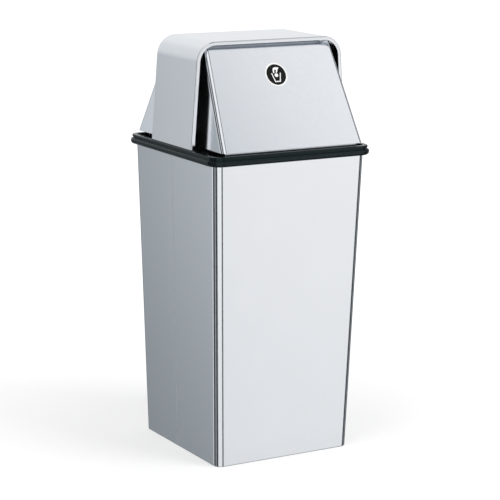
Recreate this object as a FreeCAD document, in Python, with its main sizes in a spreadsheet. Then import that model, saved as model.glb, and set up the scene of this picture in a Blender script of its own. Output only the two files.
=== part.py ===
"""Floor-standing steel waste receptacle with a lift-off lid and two self-closing push flaps.

Millimetres, +Z up, origin on the floor under the middle of the body, front flap towards -Y.
The rear flap and its hinge are the front ones turned half a turn about the vertical axis.
"""
import FreeCAD, Part
import itertools
import math
import os
import Sketcher
from FreeCAD import Placement, Rotation, Vector

# Driving sizes: lengths in millimetres, angles in degrees, counts as whole numbers
SIZES = {
    # Body: folded sheet, tapered towards the floor, rim turned out and foot turned in
    "shell_rim_height": 671.0,
    "shell_top_width": 372.6,
    "shell_floor_width": 334.6,
    "shell_corner_radius": 17.0,
    "shell_gauge": 1.2,
    "rim_flange_width": 8.0,
    "foot_flange_width": 16.0,
    # Base pan: the bin's floor, standing on the turned-in foot
    "pan_gauge": 1.2,
    "pan_flange_height": 14.0,
    "pan_clearance": 0.4,
    # Bumper: rubber ring gripping the rim flange, with a main bead, a groove and a lip
    "bumper_width": 400.0,
    "bumper_skirt": 7.2,
    "bumper_bead_rise": 4.5,
    "bumper_groove_height": 3.0,
    "bumper_groove_depth": 5.0,
    "bumper_lip_height": 5.0,
    "bumper_lip_inset": 3.5,
    "bumper_bead_round": 4.0,
    "bumper_edge_break": 1.6,
    "bumper_grip_clearance": 0.1,
    # Lid frame: ring inside the rim, with a shelf on each side that carries the hood
    "frame_gauge": 1.5,
    "frame_clearance": 1.0,
    "frame_depth": 25.0,
    "frame_drop": 3.5,
    # Hood: arch of sheet, open in front and behind, with return lips on the open edges
    "hood_foot_width": 385.0,
    "hood_height": 227.0,
    "hood_depth": 181.4,
    "hood_lean": 3.9,
    "hood_arch_radius": 45.0,
    "hood_gauge": 1.2,
    "hood_lip_width": 8.0,
    "hood_edge_break": 0.8,
    # Flaps: sloping faces with side flanges, a bottom return and a stop lip
    "flap_slope": 28.3,
    "flap_face_length": 239.9,
    "flap_top_width": 315.8,
    "flap_foot_width": 349.0,
    "flap_top_setback": 14.0,
    "flap_top_drop": 11.1,
    "flap_gauge": 1.2,
    "flap_bend_radius": 10.0,
    "flap_flange_tuck": 21.7,
    "flap_stagger": 2.0,
    "flap_lip_height": 18.0,
    "flap_lip_end_gap": 2.0,
    # Hinges: knuckled leaves on one long pin, just below each flap's top edge
    "hinge_length": 266.0,
    "hinge_top_inset": 8.0,
    "hinge_play": 0.4,
    "barrel_radius": 5.0,
    "leaf_gauge": 1.2,
    "leaf_width": 17.0,
    "knuckle_count": 9,
    "knuckle_gap": 0.4,
    "notch_clearance": 1.0,
    "pin_diameter": 4.0,
    "pin_clearance": 0.05,
    "pin_head_diameter": 6.4,
    "pin_head_height": 1.2,
    # Hinge rails: angles under the hood's top that carry the fixed leaves
    "rail_gauge": 1.5,
    "rail_shelf": 22.0,
    "rail_drop": 28.0,
    # Torsion springs round the pins
    "spring_wire": 1.2,
    "spring_turns": 4,
    "spring_pitch": 1.75,
    "spring_bore_gap": 0.3,
    "spring_leg": 14.0,
    # Rubber buffers on the frame that stop the closing flaps
    "buffer_thickness": 3.0,
    "buffer_width": 20.0,
    "buffer_height": 7.0,
    "buffer_spread": 200.0,
    "buffer_margin": 1.0,
    "stop_gap": 0.3,
    # Sign plate on the front flap
    "disc_diameter": 54.0,
    "disc_thickness": 0.8,
    "disc_drop": 72.0,
    # Length by which a cut or a trimmed section runs past the surface it meets
    "overrun": 2.0,
    # Largest share of a wall that a rounding may take, and the tolerance for finding its edges
    "round_limit_share": 0.85,
    "edge_tolerance": 0.02,
}

# Places worked out from the driving sizes, each as a formula of the sheet
PLACES = {
    "shell_top_half": "Sizes.shell_top_width / 2",
    "shell_floor_half": "Sizes.shell_floor_width / 2",
    "rim_underside": "Sizes.shell_rim_height - Sizes.shell_gauge",
    "bumper_foot": "Places.rim_underside - Sizes.bumper_skirt",
    "bead_top": "Sizes.shell_rim_height + Sizes.bumper_bead_rise",
    "groove_top": "Places.bead_top + Sizes.bumper_groove_height",
    "bumper_top": "Places.groove_top + Sizes.bumper_lip_height",
    "bumper_half": "Sizes.bumper_width / 2",
    "bumper_inner": "Places.shell_top_half - Sizes.shell_gauge",
    "bead_round": "min(Sizes.bumper_bead_round; Sizes.bumper_groove_depth * Sizes.round_limit_share)",
    "lip_break": "min(Sizes.bumper_edge_break; Sizes.bumper_lip_height * Sizes.round_limit_share)",
    "skirt_break": "min(Sizes.bumper_edge_break; Sizes.bumper_skirt * Sizes.round_limit_share)",
    "frame_outer": "Places.bumper_inner - Sizes.frame_clearance",
    "frame_inner": "Places.frame_outer - Sizes.frame_gauge",
    "frame_top": "Places.bumper_top - Sizes.frame_drop",
    "frame_foot": "Places.frame_top - Sizes.frame_depth",
    "hood_foot": "Places.bumper_top + Sizes.frame_gauge",
    "hood_foot_half": "Sizes.hood_foot_width / 2",
    "hood_front": "Sizes.hood_depth / 2",
    "hood_top": "Places.hood_foot + Sizes.hood_height",
    "hood_underside": "Places.hood_top - Sizes.hood_gauge",
    "hood_break": "min(Sizes.hood_edge_break; Sizes.hood_gauge * Sizes.round_limit_share)",
    "hood_arc_z": "Places.hood_top - Sizes.hood_arch_radius",
    "hood_wall_run": "(Places.hood_arc_z - Places.hood_foot) * sin(Sizes.hood_lean)",
    "hood_arc_x": "Places.hood_foot_half - (Sizes.hood_arch_radius + Places.hood_wall_run)"
                  " / cos(Sizes.hood_lean)",
    "flap_top_y": "Sizes.flap_top_setback - Places.hood_front",
    "flap_top_z": "Places.hood_top - Sizes.flap_top_drop",
    "flap_foot_y": "Places.flap_top_y - Sizes.flap_face_length * sin(Sizes.flap_slope)",
    "flap_foot_z": "Places.flap_top_z - Sizes.flap_face_length * cos(Sizes.flap_slope)",
    "flap_rear_y": "Sizes.flap_flange_tuck - Places.hood_front",
    "flap_top_half": "Sizes.flap_top_width / 2",
    "flap_foot_half": "Sizes.flap_foot_width / 2",
    "flap_widening": "(Places.flap_foot_half - Places.flap_top_half) / Sizes.flap_face_length",
    "leaf_reach": "Sizes.barrel_radius + Sizes.hinge_play",
    "face_reach": "Places.leaf_reach + Sizes.flap_gauge",
    "hinge_y": "Places.flap_top_y - Sizes.hinge_top_inset * sin(Sizes.flap_slope)"
               " + Places.face_reach * cos(Sizes.flap_slope)",
    "hinge_z": "Places.flap_top_z - Sizes.hinge_top_inset * cos(Sizes.flap_slope)"
               " - Places.face_reach * sin(Sizes.flap_slope)",
    "lip_y": "Sizes.buffer_thickness + Sizes.stop_gap - Places.frame_inner",
    "lip_length": "Sizes.flap_foot_width - 2 * (Sizes.flap_bend_radius + Sizes.flap_lip_end_gap)",
    "knuckle_pitch": "Sizes.hinge_length / Sizes.knuckle_count",
    "pin_radius": "Sizes.pin_diameter / 2",
    "spring_radius": "Places.pin_radius + Sizes.spring_bore_gap + Sizes.spring_wire / 2",
    "spring_width": "Sizes.spring_turns * Sizes.spring_pitch + Sizes.spring_wire",
    "buffer_top": "Places.frame_top - Sizes.buffer_margin",
}

TURNS = {"front": 0, "rear": 180}
X_AXIS, Y_AXIS, Z_AXIS = Vector(1, 0, 0), Vector(0, 1, 0), Vector(0, 0, 1)

doc = FreeCAD.newDocument("trash_can")
nodes = []


def fill_sheet(name, cells):
    """A sheet whose column B holds the cells, under their names as aliases."""
    sheet = doc.addObject("Spreadsheet::Sheet", name)
    for row, (alias, content) in enumerate(cells.items(), start=1):
        sheet.set(f"A{row}", alias)
        sheet.set(f"B{row}", content)
        sheet.setAlias(f"B{row}", alias)
    return sheet


sizes = fill_sheet("Sizes", {alias: str(number) for alias, number in SIZES.items()})
places = fill_sheet("Places", {alias: "=" + formula for alias, formula in PLACES.items()})
doc.recompute()


def value(formula):
    """The number that a formula of the sheets gives."""
    return float(places.evalExpression(formula))


def node(obj, label):
    """Registers an object as a sub-part under its file's name."""
    obj.Label = label
    nodes.append(obj)
    return obj


def new_body(label):
    """A new sub-part made of sketched features."""
    return node(doc.addObject("PartDesign::Body", label), label)


def sketch_on(body, plane, height="0"):
    """An empty sketch on one of the body's own planes, lifted along the plane's normal."""
    sketch = body.newObject("Sketcher::SketchObject", f"{body.Name}_sketch")
    support = next(item for item in body.Origin.OriginFeatures if item.Role == plane)
    sketch.AttachmentSupport = (support, [""])
    sketch.MapMode = "FlatFace"
    sketch.setExpression("AttachmentOffset.Base.z", height)
    return sketch


def bind(sketch, constraint, formula):
    """Adds a dimension to a sketch and ties it to a formula."""
    index = sketch.addConstraint(constraint)
    sketch.setExpression(f"Constraints[{index}]", formula)


def arc_between(start, end, radius, side):
    """The arc of under half a turn from start to end, with its centre left (1) or right (-1)."""
    chord = end - start
    middle = (start + end) * 0.5
    rise = math.sqrt(max(radius * radius - chord.Length ** 2 / 4, 0))
    across = Vector(-chord.y, chord.x, 0).normalize() * (rise * side)
    centre = middle + across
    first, last = (start, end) if side > 0 else (end, start)
    begin = math.atan2(first.y - centre.y, first.x - centre.x)
    finish = math.atan2(last.y - centre.y, last.x - centre.x)
    if finish < begin:
        finish += 2 * math.pi
    return Part.ArcOfCircle(Part.Circle(centre, Z_AXIS, radius), begin, finish)


def outline(sketch, corners, arcs=None):
    """A closed outline through corners given as formulas.

    arcs maps the number of a corner to the radius and side of the arc that leaves it.
    """
    arcs = arcs or {}
    points = [Vector(value(x), value(y), 0) for x, y in corners]
    ends = []
    for number, start in enumerate(points):
        end = points[(number + 1) % len(points)]
        if number in arcs:
            radius, side = arcs[number]
            index = sketch.addGeometry(arc_between(start, end, value(radius), side))
            bind(sketch, Sketcher.Constraint("Radius", index, value(radius)), radius)
            ends.append((index, 1, 2) if side > 0 else (index, 2, 1))
        else:
            index = sketch.addGeometry(Part.LineSegment(start, end))
            ends.append((index, 1, 2))
    for number, (index, first, last) in enumerate(ends):
        follower, follower_first, _ = ends[(number + 1) % len(ends)]
        sketch.addConstraint(Sketcher.Constraint("Coincident", index, last, follower, follower_first))
        x, y = corners[number]
        bind(sketch, Sketcher.Constraint("DistanceX", -1, 1, index, first, value(x)), x)
        bind(sketch, Sketcher.Constraint("DistanceY", -1, 1, index, first, value(y)), y)


def rounded_square(sketch, half, radius):
    """A square about the origin with rounded corners."""
    flat = f"{half} - ({radius})"
    corners = [(f"-({flat})", f"-({half})"), (flat, f"-({half})"), (half, f"-({flat})"), (half, flat),
               (flat, half), (f"-({flat})", half), (f"-({half})", flat), (f"-({half})", f"-({flat})")]
    outline(sketch, corners, {number: (radius, 1) for number in (1, 3, 5, 7)})


def rectangle(sketch, left, right, low, high):
    """An upright rectangle between formulas."""
    outline(sketch, [(left, low), (right, low), (right, high), (left, high)])


def circle(sketch, x, y, radius):
    """A circle placed and sized by formulas."""
    index = sketch.addGeometry(Part.Circle(Vector(value(x), value(y), 0), Z_AXIS, value(radius)))
    bind(sketch, Sketcher.Constraint("Radius", index, value(radius)), radius)
    bind(sketch, Sketcher.Constraint("DistanceX", -1, 1, index, 3, value(x)), x)
    bind(sketch, Sketcher.Constraint("DistanceY", -1, 1, index, 3, value(y)), y)


def pad(body, sketch, length, symmetric=False, reverse=False):
    """Thickens a sketch into the body."""
    feature = body.newObject("PartDesign::Pad", f"{body.Name}_pad")
    feature.Profile = sketch
    feature.setExpression("Length", length)
    feature.SideType = "Symmetric" if symmetric else "One side"
    feature.Reversed = reverse
    return feature


def cut_through(body, sketch, symmetric=True):
    """Cuts a sketch right through the body, to both sides or against its normal, and checks the cut."""
    doc.recompute()
    before = body.Shape.Volume
    feature = body.newObject("PartDesign::Pocket", f"{body.Name}_cut")
    feature.Profile = sketch
    feature.Type = "ThroughAll"
    feature.SideType = "Symmetric" if symmetric else "One side"
    doc.recompute()
    if not body.Shape.Volume < before:
        raise RuntimeError(f"a cut of {body.Label} removed nothing")
    return feature


def loft(body, kind, first, second):
    """A straight loft between two sketches, added or taken away."""
    feature = body.newObject(f"PartDesign::{kind}Loft", f"{body.Name}_loft")
    feature.Profile = first
    feature.Sections = [second]
    feature.Ruled = True
    return feature


def dress(body, kind, measure, formula, chosen):
    """Rounds or chamfers the edges of the body that the test chooses."""
    doc.recompute()
    base = body.Tip
    names = [f"Edge{number}" for number, edge in enumerate(base.Shape.Edges, start=1) if chosen(edge)]
    feature = body.newObject(f"PartDesign::{kind}", f"{body.Name}_{kind.lower()}")
    feature.Base = (base, names)
    feature.setExpression(measure, formula)
    return feature


def turned(side):
    """Half a turn about the vertical axis for the rear pieces."""
    return Placement(Vector(), Rotation(Z_AXIS, TURNS[side]))


def hinge_frame(side):
    """The frame of a flap's hinge: its origin on the pin's axis, upright."""
    axis = Vector(value("Sizes.flap_stagger"), value("Places.hinge_y"), value("Places.hinge_z"))
    return turned(side) * Placement(axis, Rotation())


def flap_frame(side):
    """The hinge's frame tilted with the flap: -Z runs down the face and -Y points out of it."""
    return hinge_frame(side) * Placement(Vector(), Rotation(X_AXIS, -value("Sizes.flap_slope")))


def body_shell():
    """Tapered sheet body, open at the top, with its rim turned out and its foot turned in."""
    body = new_body("body_shell")
    radius = "Sizes.shell_corner_radius"
    inner_radius = "Sizes.shell_corner_radius - Sizes.shell_gauge"
    low, high = sketch_on(body, "XY_Plane"), sketch_on(body, "XY_Plane", "Sizes.shell_rim_height")
    rounded_square(low, "Places.shell_floor_half", radius)
    rounded_square(high, "Places.shell_top_half", radius)
    loft(body, "Additive", low, high)
    low = sketch_on(body, "XY_Plane", "Sizes.shell_gauge")
    high = sketch_on(body, "XY_Plane", "Sizes.shell_rim_height")
    rounded_square(low, "Places.shell_floor_half - Sizes.shell_gauge", inner_radius)
    rounded_square(high, "Places.shell_top_half - Sizes.shell_gauge", inner_radius)
    loft(body, "Subtractive", low, high)
    rim = sketch_on(body, "XY_Plane", "Places.rim_underside")
    rounded_square(rim, "Places.shell_top_half + Sizes.rim_flange_width",
                   f"{radius} + Sizes.rim_flange_width")
    rounded_square(rim, "Places.shell_top_half - Sizes.shell_gauge", inner_radius)
    pad(body, rim, "Sizes.shell_gauge")
    floor = sketch_on(body, "XY_Plane")
    rounded_square(floor, "Places.shell_floor_half - Sizes.foot_flange_width", inner_radius)
    cut_through(body, floor)


def base_pan():
    """Shallow pan with a standing flange, resting on the turned-in foot."""
    body = new_body("base_pan")
    half = "Places.shell_floor_half - Sizes.shell_gauge - Sizes.pan_clearance"
    radius = "Sizes.shell_corner_radius - Sizes.shell_gauge - Sizes.pan_clearance"
    plate = sketch_on(body, "XY_Plane", "Sizes.shell_gauge")
    rounded_square(plate, half, radius)
    pad(body, plate, "Sizes.pan_gauge")
    flange = sketch_on(body, "XY_Plane", "Sizes.shell_gauge + Sizes.pan_gauge")
    rounded_square(flange, half, radius)
    rounded_square(flange, f"{half} - Sizes.pan_gauge", f"{radius} - Sizes.pan_gauge")
    pad(body, flange, "Sizes.pan_flange_height")


def bumper():
    """Rubber ring: skirt, slot for the rim flange, main bead, groove and lip, one above the other."""
    body = new_body("bumper")
    grip = "Sizes.bumper_grip_clearance"
    outer = "Places.bumper_half"
    inner = "Places.bumper_inner"
    slot = f"Places.shell_top_half + Sizes.rim_flange_width + {grip}"
    rings = [
        ("Places.bumper_foot", "Sizes.bumper_skirt", f"Places.shell_top_half + {grip}", outer),
        ("Places.rim_underside", "Sizes.shell_gauge", slot, outer),
        ("Sizes.shell_rim_height", "Sizes.bumper_bead_rise", inner, outer),
        ("Places.bead_top", "Sizes.bumper_groove_height", inner, f"{outer} - Sizes.bumper_groove_depth"),
        ("Places.groove_top", "Sizes.bumper_lip_height", inner, f"{outer} - Sizes.bumper_lip_inset"),
    ]
    for level, height, inside, outside in rings:
        ring = sketch_on(body, "XY_Plane", level)
        for half in (outside, inside):
            rounded_square(ring, half, f"Sizes.shell_corner_radius + {half} - Places.shell_top_half")
        pad(body, ring, height)

    def at(half, level):
        """A test for the edges that run round the ring at a half width and a level."""
        reach, height, tiny = value(half), value(level), value("Sizes.edge_tolerance")

        def chosen(edge):
            """True for an edge in that round."""
            box = edge.BoundBox
            flat = abs(box.ZMin - height) < tiny and abs(box.ZMax - height) < tiny
            far = max(abs(box.XMin), abs(box.XMax), abs(box.YMin), abs(box.YMax))
            return flat and abs(far - reach) < tiny
        return chosen
    dress(body, "Fillet", "Radius", "Places.bead_round", at(outer, "Places.bead_top"))
    dress(body, "Chamfer", "Size", "Places.lip_break",
          at(f"{outer} - Sizes.bumper_lip_inset", "Places.bumper_top"))
    dress(body, "Chamfer", "Size", "Places.skirt_break", at(outer, "Places.bumper_foot"))


def lid_frame():
    """Ring that sits inside the rim, with an upstand and a shelf on each side under the hood."""
    body = new_body("lid_frame")
    radius = "Sizes.shell_corner_radius - Sizes.shell_gauge - Sizes.frame_clearance"
    ring = sketch_on(body, "XY_Plane", "Places.frame_foot")
    rounded_square(ring, "Places.frame_outer", radius)
    rounded_square(ring, "Places.frame_inner", f"{radius} - Sizes.frame_gauge")
    pad(body, ring, "Sizes.frame_depth")
    upstands = sketch_on(body, "XY_Plane", "Places.frame_top")
    shelves = sketch_on(body, "XY_Plane", "Places.bumper_top")
    for sketch, reach in ((upstands, "Places.frame_outer"), (shelves, "Places.hood_foot_half")):
        rectangle(sketch, "Places.frame_inner", reach, "-Places.hood_front", "Places.hood_front")
        rectangle(sketch, f"-({reach})", "-Places.frame_inner", "-Places.hood_front", "Places.hood_front")
    pad(body, upstands, "Sizes.frame_drop + Sizes.frame_gauge")
    pad(body, shelves, "Sizes.frame_gauge")


def hood_arch(sketch, thickness):
    """The hood's arch seen from the front, from its outside to a thickness within."""
    corners = []
    arcs = {}
    lean = "Sizes.hood_lean"
    for depth, sign in (("0", 1), (thickness, -1)):
        radius = f"Sizes.hood_arch_radius - {depth}"
        foot = f"Places.hood_foot_half - {depth} / cos({lean})"
        wall_x = f"Places.hood_arc_x + ({radius}) * cos({lean})"
        wall_z = f"Places.hood_arc_z + ({radius}) * sin({lean})"
        top = f"Places.hood_arc_z + {radius}"
        half = [(foot, "Places.hood_foot"), (wall_x, wall_z), ("Places.hood_arc_x", top)]
        mirrored = [(f"-({x})", z) for x, z in reversed(half)]
        run = half + mirrored
        start = len(corners)
        corners += run if sign > 0 else list(reversed(run))
        arcs[start + 1] = (radius, sign)
        arcs[start + 3] = (radius, sign)
    outline(sketch, corners, arcs)


def hood():
    """Arch of sheet with a return lip along each open edge, eased where the lips turn in."""
    body = new_body("hood")
    arch = sketch_on(body, "XZ_Plane")
    hood_arch(arch, "Sizes.hood_gauge")
    pad(body, arch, "Sizes.hood_depth", symmetric=True)
    for offset, reverse in (("Places.hood_front", True), ("-Places.hood_front", False)):
        lip = sketch_on(body, "XZ_Plane", offset)
        hood_arch(lip, "Sizes.hood_lip_width")
        pad(body, lip, "Sizes.hood_gauge", reverse=reverse)
    front = value("Places.hood_front")
    tiny = value("Sizes.edge_tolerance")
    arc_x, arc_z = value("Places.hood_arc_x"), value("Places.hood_arc_z")
    lean = math.radians(value("Sizes.hood_lean"))
    radius = value("Sizes.hood_arch_radius")

    def on_outer_rim(edge):
        """True for the edges where an open end meets the arch's outside."""
        box = edge.BoundBox
        if abs(abs(box.YMin) - front) > tiny or box.YLength > tiny:
            return False
        middle = edge.valueAt((edge.FirstParameter + edge.LastParameter) / 2)
        x, z = abs(middle.x) - arc_x, middle.z - arc_z
        if x <= 0:
            return abs(z - radius) < tiny
        along_wall = x * math.cos(lean) + z * math.sin(lean)
        reach = math.hypot(x, z) if z > x * math.tan(lean) else along_wall
        return abs(reach - radius) < tiny
    dress(body, "Chamfer", "Size", "Places.hood_break", on_outer_rim)


def hinge_rail(side):
    """Angle welded under the hood's top: a shelf above and a drop that carries the fixed leaf."""
    body = new_body(f"{side}_hinge_rail")
    body.Placement = hinge_frame(side)
    near, back = "Places.leaf_reach", "Places.leaf_reach + Sizes.rail_gauge"
    top = "Places.hood_underside - Places.hinge_z"
    far = "Places.leaf_reach + Sizes.rail_shelf"
    section = sketch_on(body, "YZ_Plane")
    foot, under_shelf = "-Sizes.rail_drop", f"{top} - Sizes.rail_gauge"
    outline(section, [(near, foot), (back, foot), (back, under_shelf),
                      (far, under_shelf), (far, top), (near, top)])
    pad(body, section, "Sizes.hinge_length", symmetric=True)


def hinge_leaf(label, frame, is_kept):
    """Plate tangent to a barrel on the hinge's axis, with the knuckles that it keeps.

    Knuckles are counted from 0 along the pin, and the rest of the barrel is notched away.
    """
    body = new_body(label)
    body.Placement = frame
    plate = sketch_on(body, "YZ_Plane")
    rectangle(plate, "Places.leaf_reach - Sizes.leaf_gauge", "Places.leaf_reach", "0", "Sizes.leaf_width")
    pad(body, plate, "Sizes.hinge_length", symmetric=True)
    barrel = sketch_on(body, "YZ_Plane")
    circle(barrel, "0", "0", "Sizes.barrel_radius")
    pad(body, barrel, "Sizes.hinge_length", symmetric=True)
    bore = sketch_on(body, "YZ_Plane")
    circle(bore, "0", "0", "Places.pin_radius + Sizes.pin_clearance")
    cut_through(body, bore)
    count = int(value("Sizes.knuckle_count"))
    notches = sketch_on(body, "XZ_Plane")
    notch_top = "Sizes.barrel_radius + Sizes.notch_clearance"
    notch_foot = "-(Sizes.barrel_radius + Sizes.overrun)"
    for kept, run in itertools.groupby(range(count), is_kept):
        if kept:
            continue
        numbers = list(run)
        left_gap = "Sizes.knuckle_gap / 2" if numbers[0] > 0 else "Sizes.overrun"
        right_gap = "Sizes.knuckle_gap / 2" if numbers[-1] < count - 1 else "Sizes.overrun"
        left = f"{numbers[0]} * Places.knuckle_pitch - Sizes.hinge_length / 2 - {left_gap}"
        right = f"{numbers[-1] + 1} * Places.knuckle_pitch - Sizes.hinge_length / 2 + {right_gap}"
        rectangle(notches, left, right, notch_foot, notch_top)
    cut_through(body, notches)
    return body


def is_fixed_knuckle(number):
    """Every fourth place along the pin belongs to the fixed leaf, both ends among them."""
    return number % 4 == 0


def is_moving_knuckle(number):
    """The odd places belong to the moving leaf."""
    return number % 2 == 1


def is_spring_place(number):
    """The places that neither leaf takes hold the springs."""
    return not is_fixed_knuckle(number) and not is_moving_knuckle(number)


def hinge_leaves(side):
    """The fixed leaf on the rail and the moving leaf inside the flap's face."""
    hinge_leaf(f"{side}_fixed_leaf", hinge_frame(side), is_fixed_knuckle)
    over = Placement(Vector(), Rotation(X_AXIS, 180))
    hinge_leaf(f"{side}_moving_leaf", flap_frame(side) * over, is_moving_knuckle)


def hinge_pin(side):
    """Long pin with a peened head at each end."""
    body = new_body(f"{side}_hinge_pin")
    body.Placement = hinge_frame(side)
    end = "Sizes.hinge_length / 2 + Sizes.knuckle_gap"
    tip = f"{end} + Sizes.pin_head_height"
    head, shank = "Sizes.pin_head_diameter / 2", "Places.pin_radius"
    half = sketch_on(body, "XZ_Plane")
    outline(half, [(f"-({tip})", "0"), (tip, "0"), (tip, head), (end, head), (end, shank),
                   (f"-({end})", shank), (f"-({end})", head), (f"-({tip})", head)])
    feature = body.newObject("PartDesign::Revolution", f"{body.Name}_turning")
    feature.Profile = half
    feature.ReferenceAxis = (half, ["H_Axis"])
    feature.Angle = 360


def cylinder(name, radius, height, placement):
    """A primitive cylinder sized by formulas."""
    solid = doc.addObject("Part::Cylinder", name)
    solid.setExpression("Radius", radius)
    solid.setExpression("Height", height)
    solid.Placement = placement
    return solid


def springs(side):
    """The hinge's springs, drawn plainly: a sleeve round the pin, a leg on the rail and one on the flap."""
    count, pitch = int(value("Sizes.knuckle_count")), value("Places.knuckle_pitch")
    radius, half_wire = value("Places.spring_radius"), value("Sizes.spring_wire / 2")
    width, leg = value("Places.spring_width"), value("Sizes.spring_leg")
    slope = Placement(Vector(), Rotation(X_AXIS, -value("Sizes.flap_slope")))
    group = []
    for number in filter(is_spring_place, range(count)):
        left = (number - (count - 1) / 2) * pitch - width / 2
        along_pin = Placement(Vector(left, 0, 0), Rotation(Y_AXIS, 90))
        coil = doc.addObject("Part::Cut", f"{side}_coil")
        coil.Base = cylinder(f"{side}_coil_out", "Places.spring_radius + Sizes.spring_wire / 2",
                             "Places.spring_width", along_pin)
        coil.Tool = cylinder(f"{side}_coil_in", "Places.spring_radius - Sizes.spring_wire / 2",
                             "Places.spring_width", along_pin)
        right = left + width - 2 * half_wire
        rail_leg = wire_leg(side, Placement(Vector(left, radius - half_wire, -leg), Rotation()))
        flap_leg = wire_leg(side, slope * Placement(Vector(right, -radius - half_wire, -leg), Rotation()))
        spring = doc.addObject("Part::MultiFuse", f"{side}_spring")
        spring.Shapes = [coil, rail_leg, flap_leg]
        group.append(spring)
    compound(f"{side}_springs", group, hinge_frame(side))


def wire_leg(side, placement):
    """A straight leg of spring wire."""
    leg = doc.addObject("Part::Box", f"{side}_spring_leg")
    leg.setExpression("Length", "Sizes.spring_wire")
    leg.setExpression("Width", "Sizes.spring_wire")
    leg.setExpression("Height", "Sizes.spring_leg")
    leg.Placement = placement
    return leg


def compound(label, members, placement):
    """Groups separate solids into one sub-part."""
    group = doc.addObject("Part::Compound", label)
    group.Links = members
    group.Placement = placement
    node(group, label)


def stop_buffers(side):
    """Rubber pads on the frame's inner face, which the flap's stop lip meets."""
    pads = []
    low = value("Places.buffer_top - Sizes.buffer_height")
    for sign in (-1, 1):
        left = sign * value("Sizes.buffer_spread") / 2 - value("Sizes.buffer_width") / 2
        block = doc.addObject("Part::Box", f"{side}_buffer")
        block.setExpression("Length", "Sizes.buffer_width")
        block.setExpression("Width", "Sizes.buffer_thickness")
        block.setExpression("Height", "Sizes.buffer_height")
        block.Placement = Placement(Vector(left, -value("Places.frame_inner"), low), Rotation())
        pads.append(block)
    compound(f"{side}_stop_buffers", pads, turned(side))


def tilted(y, z):
    """Formulas for a point of the upright frame, in the frame that is tilted with the flap."""
    across, up = f"({y} - Places.hinge_y)", f"({z} - Places.hinge_z)"
    slope = "Sizes.flap_slope"
    out = f"{across} * cos({slope}) - {up} * sin({slope})"
    return out, f"{across} * sin({slope}) + {up} * cos({slope})"


def flap_face(body, depth, top, foot, inset):
    """A sketch of the flap's face at a depth, its sides moved in by an inset."""
    sketch = sketch_on(body, "XZ_Plane", depth)
    corners = []
    for level in (foot, top):
        half = (f"Places.flap_top_half + Places.flap_widening * (Sizes.hinge_top_inset - ({level}))"
                f" - {inset}")
        corners.append([(f"-({half})", level), (half, level)])
    outline(sketch, corners[0] + list(reversed(corners[1])))
    return sketch


def bend_at(body, depth, radius):
    """Rounds the two long sloping edges of the flap that lie at a depth."""
    reach, tiny = value(depth), value("Sizes.edge_tolerance")
    long = value("Sizes.flap_face_length") / 2

    def chosen(edge):
        """True for the edges along the flap's sides."""
        box = edge.BoundBox
        flat = abs(box.YMin + reach) < tiny and abs(box.YMax + reach) < tiny
        return flat and box.ZLength > long
    dress(body, "Fillet", "Radius", radius, chosen)


def flap_panel(side):
    """Folded panel: sloping face and side flanges, then the bottom return and its stop lip."""
    body = new_body(f"{side}_flap_panel")
    body.Placement = flap_frame(side)
    corner_y, corner_z = tilted("Places.flap_rear_y", "Places.flap_foot_z")
    top = "Sizes.hinge_top_inset"
    foot = f"{top} - Sizes.flap_face_length - Sizes.overrun"
    block = flap_face(body, "Places.face_reach", top, foot, "0")
    pad(body, block, f"Places.face_reach + {corner_y} + Sizes.overrun", reverse=True)
    hollow = flap_face(body, "Places.leaf_reach", f"{top} + Sizes.overrun", f"{foot} - Sizes.overrun",
                       "Sizes.flap_gauge")
    cut_through(body, hollow, symmetric=False)
    bend_at(body, "Places.leaf_reach", "Sizes.flap_bend_radius - Sizes.flap_gauge")
    bend_at(body, "Places.face_reach", "Sizes.flap_bend_radius")
    # The flanges end upright behind and level below, so one cut trims both and the face's foot
    reach, slope = "Sizes.flap_face_length", "Sizes.flap_slope"
    above = (f"{corner_y} - {reach} * sin({slope})", f"{corner_z} + {reach} * cos({slope})")
    ahead = (f"{corner_y} - {reach} * cos({slope})", f"{corner_z} - {reach} * sin({slope})")
    behind = f"{corner_y} + {reach}"
    trim = sketch_on(body, "YZ_Plane")
    outline(trim, [(corner_y, corner_z), ahead, (behind, ahead[1]), (behind, above[1]), above])
    cut_through(body, trim)
    half_sheet = f"Sizes.flap_gauge / 2 / cos({slope})"
    foot_y, foot_z = f"(Places.flap_foot_y + {half_sheet})", "Places.flap_foot_z"
    lip_back = "(Places.lip_y + Sizes.flap_gauge)"
    return_top = "(Places.flap_foot_z + Sizes.flap_gauge)"
    lip_foot = "(Places.flap_foot_z - Sizes.flap_lip_height)"
    hook = [(foot_y, foot_z), ("Places.lip_y", foot_z), ("Places.lip_y", lip_foot), (lip_back, lip_foot),
            (lip_back, return_top), (f"({foot_y} + Sizes.flap_gauge * tan({slope}))", return_top)]
    section = sketch_on(body, "YZ_Plane")
    outline(section, [tilted(y, z) for y, z in hook])
    pad(body, section, "Places.lip_length", symmetric=True)


def symbol_disc():
    """Thin round sign plate on the front flap's face."""
    down = value("Sizes.hinge_top_inset - Sizes.disc_drop")
    seat = Placement(Vector(0, -value("Places.face_reach"), down), Rotation(X_AXIS, 90))
    radius, thickness = "Sizes.disc_diameter / 2", "Sizes.disc_thickness"
    node(cylinder("symbol_disc", radius, thickness, flap_frame("front") * seat), "symbol_disc")


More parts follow.
